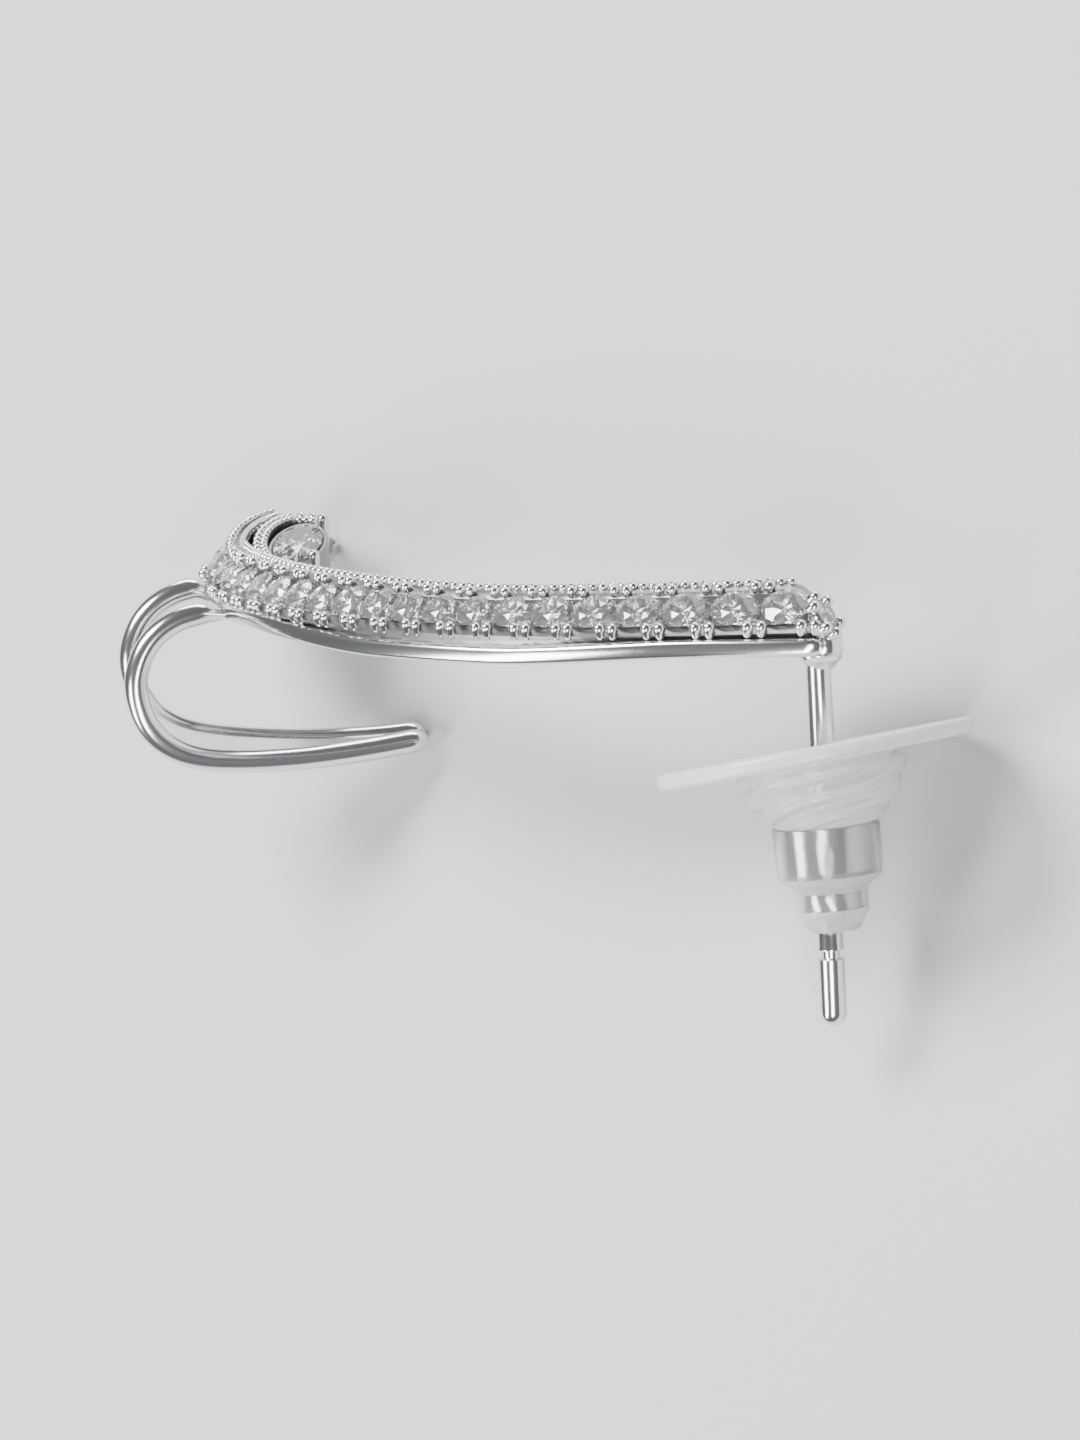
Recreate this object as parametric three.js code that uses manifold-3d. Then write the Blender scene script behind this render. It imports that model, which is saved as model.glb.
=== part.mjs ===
// Ear cuff of the climber kind: a stone-set band with a post and a clear ear back at the lobe end,
// and a two-strand hook at the other end that clips over the rim of the ear.
// Millimetres, +Z up in the resting pose. The pieces are modelled in the wearing frame, where the
// post runs down -Z from the origin and the band lies level, and are then laid down on their side.
import * as THREE from 'three';
import { ConvexGeometry } from 'three/addons/geometries/ConvexGeometry.js';
import { mergeVertices } from 'three/addons/utils/BufferGeometryUtils.js';
import Module from 'manifold-3d';

const wasm = await Module();
wasm.setup();

// Band stones
const FIRST_STONE = 1.56;        // diameter at the post end
const SMALL_STONE = 1.21;        // diameter from the middle of the band on
const GRADED_STONES = 8;         // stones over which the diameter falls
const STONE_GAP = 0.17;          // between neighbouring girdles
const CURL_STONE_GAP = 0.23;     // and between those round the curl
const SEAT_CLEARANCE = 0.05;     // between a stone and its metal

// Course of the band, as seen from the front of the ear
const BAND_START = { x: 0.72, y: -0.17, z: 0.22 };
const ARM_LENGTH = 30.4;
const START_HEADING = 10.3;      // degrees, 0 runs along -X and 90 along +Y
const ARM_TURN = 50.1;
const ARM_TURN_RISE = 26.9;      // the band bends faster towards its far end
const CURL_AT = ARM_LENGTH - 1.4; // distance along the band where the curl begins
const CURL_RADIUS = 2.6;
const CURL_END_HEADING = 205;
const CURL_TILT = 20;            // degrees that the curl's plane leans towards the front
const TILT_LENGTH = 4.2;         // distance over which the band takes up that lean
const METAL_START = 0.72;        // distance along the band where rail and channel begin

// Band section
const RAIL_WIDTH = 0.95;
const RAIL_HEIGHT = 0.6;
const RAIL_SAG = 0.34;           // the rail bows away from the stones in the middle of the band
const SAG_RANGE = { from: 4, full: 12, until: 16, to: 24 };
const RAIL_PROUD = 0.03;         // rail beyond the stones' lower lip
const STONE_LIFT = 0.4;          // girdle centre above the rail's underside, for a stone of no size
const LIFT_PER_SIZE = 0.73;
const BEVEL_START = 35;          // degrees that the stones face outwards
const BEVEL_END = 48.5;
const END_SLOPE = 0.45;          // share of its height that the channel's upper side has at the post
const SHELF_WIDTH = 0.36;        // beaded shelf behind the upper prongs
const LIP_DEPTH = 0.12;          // channel lips below the girdles' plane
const LIP_UNDER_STONE = 0.045;   // lips reach this far under the girdles
const PRONG_RADIUS = 0.18;
const PRONG_PAIR = 0.23;         // half the spacing of the two prongs of a pair
const PRONG_HEIGHT = 0.16;       // above the girdles
const BEAD_RADIUS = 0.15;
const BEAD_SPACING = 0.56;

// Stone proportions, as shares of the diameter
const TABLE_SHARE = 0.56;
const CROWN_SHARE = 0.15;
const GIRDLE_SHARE = 0.03;
const PAVILION_SHARE = 0.4;

// Curl head: rings around an oval stone
const HEAD_LEVEL = 2.1;          // of the rings above the rail's underside
const WIRE_RADIUS = 0.17;
const WIRE_RING = { along: -0.1, across: -0.2, halfLength: 1.72, halfWidth: 2.15 };
const WIRE_FROM = 106;           // degrees round the ring, from its far end
const WIRE_TO = 268;
const ROPE_RING = { along: 0.16, across: -0.27, halfLength: 1.26, halfWidth: 1.86 };
const ROPE_FROM = 98;
const ROPE_TO = 262;
const ROPE_INSET = 4;            // degrees from an end of its wall to the last bead
const ROPE_BEAD = 0.13;
const ROPE_BEADS = 13;           // in each of its two rows
const HEAD_STONE_LENGTH = 2.6;
const HEAD_STONE_WIDTH = 1.6;
const HEAD_STONE_TURN = -14;     // degrees in the head's plane
const HEAD_FLOOR = 0.9;          // floor below the rings
const FLOOR_THICKNESS = 0.8;
const FLOOR_OVAL = { along: -0.4, across: -0.1, halfLength: 1.6, halfWidth: 2.25 };
const CLAW_RADIUS = 0.2;

// Hook
const HOOK_AT = CURL_AT - 3.8;   // distance along the band
const HOOK_HEADING_AT = CURL_AT - 2; // where the band's direction is taken for the hook's plane
const HOOK_OUT = 0.2;            // its strand starts this far out of the rail's middle
const HOOK_REACH = 3.56;         // beyond the band's outer side
const HOOK_DROP = 5.1;
const HOOK_ARM = 6.25;
const STRAND_RADIUS = 0.4;
const STRAND_SPREAD = 2.6;       // between the strands at the band
const SPREAD_HEADING = 84;       // degrees, direction from the near strand to the far one
const STRAND_STEP = 0.5;         // the far strand lies this much higher
const ROOT_DROP = 0.38;          // the far strand leaves the band under the stones
const ROOT_SHARE = 0.62;         // and is thinner there
const TIP_SPREAD = 0.28;         // share of the spread that is left at the tip
const WEB_THICKNESS = 0.46;
const WEB_START = 0.27;          // share of the hook's length where the strands join

// Post
const POST_LENGTH = 11.66;
const POST_RADIUS = 0.4;
const NOTCH_AT = 9.35;
const NOTCH_RADIUS = 0.28;
const NOTCH_HALF = 0.12;
const FOOT_RADIUS = 0.58;
const FOOT_OFFSET = 0.2;
const END_STONE = 0.95;

// Ear back
const PAD_RADIUS = 5.05;
const PAD_THICKNESS = 0.5;
const PAD_CENTRE = { x: -0.22, z: -2.96 };
const PAD_LEAN = { front: 9, side: 8 };    // degrees that the soft pad leans on the post
const COLLAR_LEAN = { front: 7, side: 6 };
const BODY_LEAN = { front: 4, side: 2.7 };
const COLLAR_RADIUS = 2.62;
const COLLAR_HEIGHT = 1.95;
// Radius and depth of the collar's folds, as shares of its own
const COLLAR_FOLDS = [[0.9, 0], [1, 0.205], [0.9, 0.333], [0.94, 0.487], [0.78, 0.692], [0.74, 0.82]];
const COLLAR_END = 5.16;         // where the collar ends, down the post
const SLEEVE_RADIUS = 1.5;
const SLEEVE_LENGTH = 1.64;
const NECK_RADIUS = 0.94;
const NECK_LENGTH = 1.2;
const SLEEVE_WALL = 0.25;
const JACKET_SKIN = 0.14;
const NOSE_LENGTH = 0.57;
const BORE_RADIUS = 0.5;
const FIT_GAP = 0.06;

// Resting pose: the cuff lies on the curl's far side, the hook's tip and the pad's edge
const CURL_CONTACT = { along: 0.53, across: 1.13 };  // from the head's middle, shares of the curl's radius
const PAD_CONTACT = 60;          // degrees round the pad
const VIEW_RISE = 9;             // degrees above the band's plane from which the cuff is seen

// Sides of round sections, and steps along the band
const SIDES = 8;
const PRONG_SIDES = 4;
const BACK_SIDES = 24;
const STEP = 0.95;               // along the band between sections
const CURL_STEP = 0.62;
const RING_STATIONS = 12;
const HOOK_STATIONS = 29;
const MERGE_DISTANCE = 1e-5;

const X = new THREE.Vector3(1, 0, 0);
const Y = new THREE.Vector3(0, 1, 0);
const Z = new THREE.Vector3(0, 0, 1);
const rad = THREE.MathUtils.degToRad;
const lerp = THREE.MathUtils.lerp;
const smooth = THREE.MathUtils.smoothstep;

// Solids

// Shares the vertices of a closed mesh, and leaves out triangles that have no area.
function weld(geometry) {
  geometry.deleteAttribute('normal');
  geometry.deleteAttribute('uv');
  const merged = mergeVertices(geometry, MERGE_DISTANCE);
  const corners = Array.from(merged.index.array);
  const triangles = [];
  for (let i = 0; i < corners.length; i += 3) {
    const [a, b, c] = corners.slice(i, i + 3);
    if (a !== b && b !== c && c !== a) triangles.push(a, b, c);
  }
  merged.setIndex(triangles);
  return merged;
}

function toManifold(geometry) {
  return new wasm.Manifold(new wasm.Mesh({
    numProp: 3,
    vertProperties: new Float32Array(geometry.getAttribute('position').array),
    triVerts: new Uint32Array(geometry.index.array),
  }));
}

function toGeometry(solid) {
  const mesh = solid.getMesh();
  const geometry = new THREE.BufferGeometry();
  geometry.setAttribute('position', new THREE.BufferAttribute(mesh.vertProperties, 3));
  geometry.setIndex(new THREE.BufferAttribute(mesh.triVerts, 1));
  geometry.computeVertexNormals();
  return geometry;
}

function join(geometries) {
  let parts = geometries.map(toManifold);
  while (parts.length > 1) {
    const next = [];
    for (let i = 0; i < parts.length; i += 2) {
      next.push(i + 1 < parts.length ? parts[i].add(parts[i + 1]) : parts[i]);
    }
    parts = next;
  }
  return parts[0];
}

// A closed skin through rings of points, with both ends capped.
function loft(rings) {
  const count = rings[0].length;
  const points = rings.flat();
  const faces = [];
  for (let i = 0; i + 1 < rings.length; i += 1) {
    for (let j = 0; j < count; j += 1) {
      const a = i * count + j;
      const b = i * count + ((j + 1) % count);
      faces.push([a, b, b + count], [a, b + count, a + count]);
    }
  }
  const caps = [0, rings.length - 1];
  for (const ring of caps) {
    const flat = flatten(rings[ring]);
    for (const [a, b, c] of THREE.ShapeUtils.triangulateShape(flat, [])) {
      const start = ring * count;
      const face = [start + a, start + b, start + c];
      faces.push(ring === 0 ? face.reverse() : face);
    }
  }
  const geometry = new THREE.BufferGeometry().setFromPoints(points);
  geometry.setIndex(faces.flat());
  return facingOut(geometry);
}

function flatten(ring) {
  const middle = ring.reduce((sum, p) => sum.add(p), new THREE.Vector3()).divideScalar(ring.length);
  const normal = new THREE.Vector3();
  ring.forEach((p, i) => {
    const q = ring[(i + 1) % ring.length];
    normal.add(p.clone().sub(middle).cross(q.clone().sub(middle)));
  });
  normal.normalize();
  const across = ring[0].clone().sub(middle).normalize();
  const up = normal.clone().cross(across);
  return ring.map((p) => {
    const d = p.clone().sub(middle);
    return new THREE.Vector2(d.dot(across), d.dot(up));
  });
}

// Turns the faces outwards where the points were given the other way round.
function facingOut(geometry) {
  const position = geometry.getAttribute('position');
  const corners = Array.from(geometry.index.array);
  const at = (i) => new THREE.Vector3().fromBufferAttribute(position, corners[i]);
  let volume = 0;
  for (let i = 0; i < corners.length; i += 3) volume += at(i).dot(at(i + 1).cross(at(i + 2)));
  if (volume < 0) geometry.setIndex(corners.reverse());
  return geometry;
}

function lathe(profile, sides) {
  const points = profile.map(([r, z]) => new THREE.Vector2(r, z));
  const turned = weld(new THREE.LatheGeometry(points, sides));
  turned.rotateX(Math.PI / 2);
  return facingOut(turned);
}

// Places a solid that was made round Z at a point, with its Z turned to a direction.
function placed(geometry, point, direction) {
  const turn = new THREE.Quaternion().setFromUnitVectors(Z, direction.clone().normalize());
  geometry.applyQuaternion(turn);
  geometry.translate(point.x, point.y, point.z);
  return geometry;
}

function tube(points, frames, radii, sides) {
  return loft(points.map((point, i) => {
    const ring = [];
    for (let j = 0; j < sides; j += 1) {
      const angle = (2 * Math.PI * j) / sides;
      ring.push(point.clone()
        .addScaledVector(frames[i].side, radii[i] * Math.cos(angle))
        .addScaledVector(frames[i].up, radii[i] * Math.sin(angle)));
    }
    return ring;
  }));
}

// Course of the band

const headingAt = (s) => {
  const share = Math.min(s, CURL_AT) / ARM_LENGTH;
  const arm = rad(START_HEADING + ARM_TURN * share + ARM_TURN_RISE * share * share);
  return arm + Math.max(0, s - CURL_AT) / CURL_RADIUS;
};
const tiltAt = (s) => rad(CURL_TILT) * smooth(s, CURL_AT - TILT_LENGTH / 2, CURL_AT + TILT_LENGTH / 2);
const BAND_END = CURL_AT + CURL_RADIUS * (rad(CURL_END_HEADING) - headingAt(CURL_AT));
const COURSE_STEP = 0.05;
const course = [new THREE.Vector3(BAND_START.x, BAND_START.y, BAND_START.z)];
for (let s = 0; s < BAND_END + 1; s += COURSE_STEP) {
  course.push(course[course.length - 1].clone()
    .addScaledVector(directionAt(s + COURSE_STEP / 2), COURSE_STEP));
}

function directionAt(s) {
  const heading = headingAt(s);
  const tilt = tiltAt(s);
  return new THREE.Vector3(
    -Math.cos(heading),
    Math.sin(heading) * Math.cos(tilt),
    Math.sin(heading) * Math.sin(tilt),
  );
}

// Point on the rail's underside, with the band's direction, its outer side and its upper side.
function bandFrame(s) {
  const place = Math.max(0, s / COURSE_STEP);
  const i = Math.min(Math.floor(place), course.length - 2);
  const point = course[i].clone().lerp(course[i + 1], place - i);
  const along = directionAt(s);
  const tilt = tiltAt(s);
  const up = new THREE.Vector3(0, -Math.sin(tilt), Math.cos(tilt));
  const out = up.clone().cross(along);
  const bevel = rad(lerp(BEVEL_START, BEVEL_END, Math.min(1, s / ARM_LENGTH)));
  return { point, along, up, out, bevel, s };
}

// Stones along the band

const stoneSize = (i) => lerp(FIRST_STONE, SMALL_STONE, Math.min(1, i / GRADED_STONES));
const stonePlaces = [];
for (let i = 1, s = (stoneSize(0) + stoneSize(1)) / 2 + STONE_GAP; ; i += 1) {
  if (s + stoneSize(i) / 2 + PRONG_PAIR + PRONG_RADIUS > BAND_END) break;
  stonePlaces.push({ s, size: stoneSize(i) });
  const gap = s < CURL_AT - TILT_LENGTH / 2 ? STONE_GAP : CURL_STONE_GAP;
  s += (stoneSize(i) + stoneSize(i + 1)) / 2 + gap;
}

function sizeAt(s) {
  const first = stonePlaces[0];
  const after = stonePlaces.findIndex((place) => place.s > s);
  if (after === 0) return first.size;
  if (after < 0) return stonePlaces[stonePlaces.length - 1].size;
  const a = stonePlaces[after - 1];
  const b = stonePlaces[after];
  return lerp(a.size, b.size, (s - a.s) / (b.s - a.s));
}

// Point in the bevelled plane of the stones: across it, away from its girdles, in millimetres.
function facePoint(frame, size, across, above, along = 0) {
  const sin = Math.sin(frame.bevel);
  const cos = Math.cos(frame.bevel);
  const lift = STONE_LIFT + LIFT_PER_SIZE * size + above * cos + across * sin;
  return frame.point.clone()
    .addScaledVector(frame.up, lift)
    .addScaledVector(frame.out, above * sin - across * cos)
    .addScaledVector(frame.along, along);
}

const faceNormal = (frame) => frame.up.clone().multiplyScalar(Math.cos(frame.bevel))
  .addScaledVector(frame.out, Math.sin(frame.bevel));

// A brilliant cut: table, star and kite facets, girdle and pavilion.
function brilliant(width, length) {
  const ring = (share, height, count, turn) => Array.from({ length: count }, (_, i) => {
    const angle = (2 * Math.PI * (i + turn)) / count;
    return new THREE.Vector3(
      (share * width * Math.cos(angle)) / 2,
      (share * length * Math.sin(angle)) / 2,
      height * width,
    );
  });
  const midShare = (1 + TABLE_SHARE) / 2 + 0.03;
  return weld(new ConvexGeometry([
    ...ring(TABLE_SHARE, CROWN_SHARE, 8, 0),
    ...ring(midShare, CROWN_SHARE * 0.58, 8, 0.5),
    ...ring(1, GIRDLE_SHARE / 2, 16, 0),
    ...ring(1, -GIRDLE_SHARE / 2, 16, 0),
    new THREE.Vector3(0, 0, -PAVILION_SHARE * width),
  ]));
}

// Metal of the band

function bandStations() {
  const stations = [];
  const armSteps = Math.round((CURL_AT - METAL_START) / STEP);
  for (let i = 0; i < armSteps; i += 1) stations.push(lerp(METAL_START, CURL_AT, i / armSteps));
  const curlSteps = Math.round((BAND_END - CURL_AT) / CURL_STEP);
  for (let i = 0; i <= curlSteps; i += 1) stations.push(lerp(CURL_AT, BAND_END, i / curlSteps));
  return stations;
}

const sagAt = (s) => RAIL_SAG
  * (smooth(s, SAG_RANGE.from, SAG_RANGE.full) - smooth(s, SAG_RANGE.until, SAG_RANGE.to));

function railRing(s, shrink) {
  const frame = bandFrame(s);
  const outer = railOuter(s);
  const middle = frame.point.clone()
    .addScaledVector(frame.up, -sagAt(s))
    .addScaledVector(frame.out, outer - RAIL_WIDTH / 2)
    .addScaledVector(frame.up, RAIL_HEIGHT / 2);
  const corner = RAIL_HEIGHT * 0.28;
  const halfWidth = (RAIL_WIDTH / 2) * shrink;
  const halfHeight = (RAIL_HEIGHT / 2) * shrink;
  const offsets = [
    [halfWidth, -halfHeight + corner], [halfWidth, halfHeight - corner],
    [halfWidth - corner, halfHeight], [-halfWidth + corner, halfHeight],
    [-halfWidth, halfHeight - corner], [-halfWidth, -halfHeight + corner],
    [-halfWidth + corner, -halfHeight], [halfWidth - corner, -halfHeight],
  ];
  return offsets.map(([o, z]) => middle.clone()
    .addScaledVector(frame.out, o).addScaledVector(frame.up, z));
}

const railOuter = (s) => {
  const frame = bandFrame(s);
  return lipReach(sizeAt(s)) * Math.cos(frame.bevel) + RAIL_PROUD;
};
const prongReach = (size) => size / 2 + PRONG_RADIUS * 0.85;
const lipReach = (size) => prongReach(size) + PRONG_RADIUS;

function channelRing(s) {
  const frame = bandFrame(s);
  const size = sizeAt(s);
  const seat = size / 2 - LIP_UNDER_STONE;
  const share = lerp(END_SLOPE, 1, smooth(s, METAL_START, METAL_START + STEP * 0.9));
  const lip = facePoint(frame, size, lipReach(size) * share, -LIP_DEPTH);
  const shelf = lip.clone().addScaledVector(frame.out, -SHELF_WIDTH);
  const inner = shelf.clone().sub(frame.point).dot(frame.out);
  const web = railOuter(s) - RAIL_WIDTH / 2;
  const level = (out, up) => frame.point.clone()
    .addScaledVector(frame.out, out).addScaledVector(frame.up, up - sagAt(s));
  return [
    facePoint(frame, size, -lipReach(size), -LIP_DEPTH),
    facePoint(frame, size, -seat, -LIP_DEPTH),
    facePoint(frame, size, 0, -PAVILION_SHARE * size - SEAT_CLEARANCE * 2),
    facePoint(frame, size, seat * share, -LIP_DEPTH),
    lip,
    shelf,
    level(inner, RAIL_HEIGHT * 1.3),
    level(inner + RAIL_WIDTH * 0.4, RAIL_HEIGHT * 0.5),
    level(web, RAIL_HEIGHT * 0.4),
    level(web + RAIL_WIDTH * 0.08, RAIL_HEIGHT * 1.02),
  ];
}

function prong(radius, height, depth) {
  return lathe([[0, -depth], [radius, -depth], [radius, height * 0.35], [0, height]], PRONG_SIDES);
}

function bead(radius) {
  return lathe([[0, -radius], [radius, -radius * 0.1], [0, radius]], PRONG_SIDES);
}

// Paired prongs stand between each two stones, on both sides of them.
function bandProngs() {
  const solids = [];
  const gapPlaces = stonePlaces.map(({ s, size }) => s - size / 2 - STONE_GAP / 2);
  const last = stonePlaces[stonePlaces.length - 1];
  gapPlaces.push(last.s + last.size / 2);
  for (const s of gapPlaces) {
    const frame = bandFrame(s);
    const size = sizeAt(s);
    const scale = size / FIRST_STONE;
    const sides = s < METAL_START + STEP * 0.9 ? [-1] : [-1, 1];
    for (const side of sides) {
      for (const pair of [-1, 1]) {
        const point = facePoint(frame, size, side * prongReach(size), 0, pair * PRONG_PAIR * scale);
        solids.push(placed(prong(PRONG_RADIUS * scale, PRONG_HEIGHT, LIP_DEPTH * 2), point,
          faceNormal(frame)));
      }
    }
  }
  return solids;
}

// The beaded shelf behind the upper prongs.
function shelfBeads() {
  const solids = [];
  const count = Math.floor((BAND_END - METAL_START - STEP) / BEAD_SPACING);
  for (let i = 0; i < count; i += 1) {
    const s = METAL_START + STEP + BEAD_SPACING * i;
    const frame = bandFrame(s);
    const size = sizeAt(s);
    const point = facePoint(frame, size, lipReach(size), -LIP_DEPTH)
      .addScaledVector(frame.out, -SHELF_WIDTH / 2)
      .addScaledVector(frame.up, -BEAD_RADIUS * 0.1);
    solids.push(placed(bead(BEAD_RADIUS), point, frame.up));
  }
  return solids;
}

// End stone over the post: it faces the open end of the band.
const endFrame = {
  point: new THREE.Vector3(FOOT_OFFSET + 0.13, -0.36, BAND_START.z + 1.26),
  normal: new THREE.Vector3(0.78, -0.36, 0.5).normalize(),
};

function endSetting() {
  const radius = END_STONE / 2;
  const depth = PAVILION_SHARE * END_STONE + SEAT_CLEARANCE * 2;
  const cup = placed(lathe([
    [0, -depth - 0.12], [radius * 0.45, -depth - 0.12], [radius * 0.97, -0.38],
    [radius + 0.09, -0.16], [radius + 0.09, -0.1], [radius + SEAT_CLEARANCE, -0.05], [0, -depth],
  ], 12), endFrame.point, endFrame.normal);
  const sideways = new THREE.Vector3().crossVectors(endFrame.normal, Z).normalize();
  const upward = new THREE.Vector3().crossVectors(sideways, endFrame.normal);
  const solids = [cup];
  for (const angle of [35, 80, 145, 215, 280, 325]) {
    const reach = radius + SEAT_CLEARANCE + PRONG_RADIUS * 0.75;
    const point = endFrame.point.clone()
      .addScaledVector(sideways, reach * Math.cos(rad(angle)))
      .addScaledVector(upward, reach * Math.sin(rad(angle)));
    solids.push(placed(prong(PRONG_RADIUS * 0.9, PRONG_HEIGHT, 0.45), point, endFrame.normal));
  }
  return solids;
}

// Head of the band, in the plane of the curl

function headFrame() {
  const quarter = CURL_AT + CURL_RADIUS * (Math.PI / 2 - headingAt(CURL_AT));
  const frame = bandFrame(quarter);
  const tilt = rad(CURL_TILT);
  const across = new THREE.Vector3(0, Math.cos(tilt), Math.sin(tilt));
  const up = new THREE.Vector3(0, -Math.sin(tilt), Math.cos(tilt));
  const centre = frame.point.clone().addScaledVector(X, CURL_RADIUS).addScaledVector(up, HEAD_LEVEL);
  return { centre, along: X.clone(), across, up };
}
const head = headFrame();
const headPoint = (along, across, above) => head.centre.clone()
  .addScaledVector(head.along, along)
  .addScaledVector(head.across, across)
  .addScaledVector(head.up, above);

// Points on a ring of the head, from its far end round the left to its near end.
function ringPoints(ring, from, to, count) {
  return Array.from({ length: count }, (_, i) => {
    const angle = rad(lerp(from, to, i / (count - 1)));
    return {
      along: ring.along + ring.halfLength * Math.cos(angle),
      across: ring.across + ring.halfWidth * Math.sin(angle),
      angle,
    };
  });
}

function headWire() {
  const places = ringPoints(WIRE_RING, WIRE_FROM, WIRE_TO, RING_STATIONS);
  const points = places.map((p) => headPoint(p.along, p.across, 0));
  const frames = ringFrames(places);
  return [
    ringWall(points, frames, WIRE_RADIUS * 0.7),
    tube(points, frames, points.map(() => WIRE_RADIUS), SIDES),
  ];
}

// Upright wall from a line on the head down into its floor.
function ringWall(points, frames, half) {
  const corner = (i, side, drop) => points[i].clone()
    .addScaledVector(frames[i].side, side * half).addScaledVector(head.up, -drop);
  const foot = HEAD_FLOOR + FLOOR_THICKNESS / 2;
  return loft(points.map((_, i) => [
    corner(i, 1, 0), corner(i, 1, foot), corner(i, -1, foot), corner(i, -1, 0),
  ]));
}

function ringFrames(places) {
  return places.map((p) => ({
    side: head.along.clone().multiplyScalar(Math.cos(p.angle))
      .addScaledVector(head.across, Math.sin(p.angle)),
    up: head.up,
  }));
}

// Two rows of beads on a wall of their own.
function headRope() {
  const places = ringPoints(ROPE_RING, ROPE_FROM, ROPE_TO, RING_STATIONS);
  const top = places.map((p) => headPoint(p.along, p.across, -ROPE_BEAD * 0.5));
  const solids = [ringWall(top, ringFrames(places), ROPE_BEAD * 1.9)];
  for (const side of [-1, 1]) {
    const ring = {
      ...ROPE_RING,
      halfLength: ROPE_RING.halfLength + side * ROPE_BEAD * 0.92,
      halfWidth: ROPE_RING.halfWidth + side * ROPE_BEAD * 0.92,
    };
    for (const p of ringPoints(ring, ROPE_FROM + ROPE_INSET, ROPE_TO - ROPE_INSET, ROPE_BEADS)) {
      solids.push(placed(bead(ROPE_BEAD), headPoint(p.along, p.across, 0), head.up));
    }
  }
  return solids;
}

// Floor under the rings, and the collar that seats the oval stone.
function headFloor() {
  const outline = new THREE.Shape();
  outline.absellipse(0, 0, FLOOR_OVAL.halfLength, FLOOR_OVAL.halfWidth, 0, Math.PI * 2);
  const floor = weld(new THREE.ExtrudeGeometry(outline, {
    depth: FLOOR_THICKNESS, bevelEnabled: false, curveSegments: 12,
  }));
  floor.translate(FLOOR_OVAL.along, FLOOR_OVAL.across, -HEAD_FLOOR - FLOOR_THICKNESS);
  return inHeadPlane(floor);
}

function inHeadPlane(geometry) {
  const basis = new THREE.Matrix4().makeBasis(head.along, head.across, head.up);
  basis.setPosition(head.centre);
  return geometry.applyMatrix4(basis);
}

function headCollar() {
  const seatDepth = PAVILION_SHARE * HEAD_STONE_WIDTH + SEAT_CLEARANCE * 2;
  const seat = 1 + (2 * SEAT_CLEARANCE) / HEAD_STONE_WIDTH;
  const rim = seat + 0.16;
  const collar = lathe([
    [0, -HEAD_FLOOR - 0.2], [rim, -HEAD_FLOOR - 0.2], [rim, -0.1],
    [seat, -0.1], [0, -0.07 - seatDepth],
  ], 20);
  collar.scale(HEAD_STONE_WIDTH / 2, HEAD_STONE_LENGTH / 2, 1);
  collar.rotateZ(rad(HEAD_STONE_TURN));
  collar.translate(ROPE_RING.along, ROPE_RING.across, 0);
  return inHeadPlane(collar);
}

function headClaws() {
  return [-38, 62].map((angle) => {
    const reach = 1 + (2 * (SEAT_CLEARANCE + CLAW_RADIUS * 1.05)) / HEAD_STONE_WIDTH;
    const place = new THREE.Vector2(
      (reach * HEAD_STONE_WIDTH * Math.cos(rad(angle))) / 2,
      (reach * HEAD_STONE_LENGTH * Math.sin(rad(angle))) / 2,
    ).rotateAround(new THREE.Vector2(), rad(HEAD_STONE_TURN));
    const claw = prong(CLAW_RADIUS, 0.3, HEAD_FLOOR);
    const point = headPoint(ROPE_RING.along + place.x, ROPE_RING.across + place.y, 0);
    return placed(claw, point, head.up);
  });
}

// Hook

// Middle of the near strand, as shares: out of the reach (or of the arm, where positive), and down
// of the drop.
const HOOK_COURSE = [
  { out: -0.07, down: 0.01 },
  { out: -0.18, down: 0.0 },
  { out: -0.36, down: -0.01 },
  { out: -0.6, down: 0.03 },
  { out: -0.8, down: 0.12 },
  { out: -0.94, down: 0.26 },
  { out: -1.0, down: 0.44 },
  { out: -0.93, down: 0.66 },
  { out: -0.76, down: 0.82 },
  { out: -0.48, down: 0.93 },
  { out: -0.06, down: 0.983 },
  { out: 0.31, down: 1.0 },
  { out: 0.66, down: 0.982 },
  { out: 1.0, down: 0.945 },
];

const hookTip = new THREE.Vector3();

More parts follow.
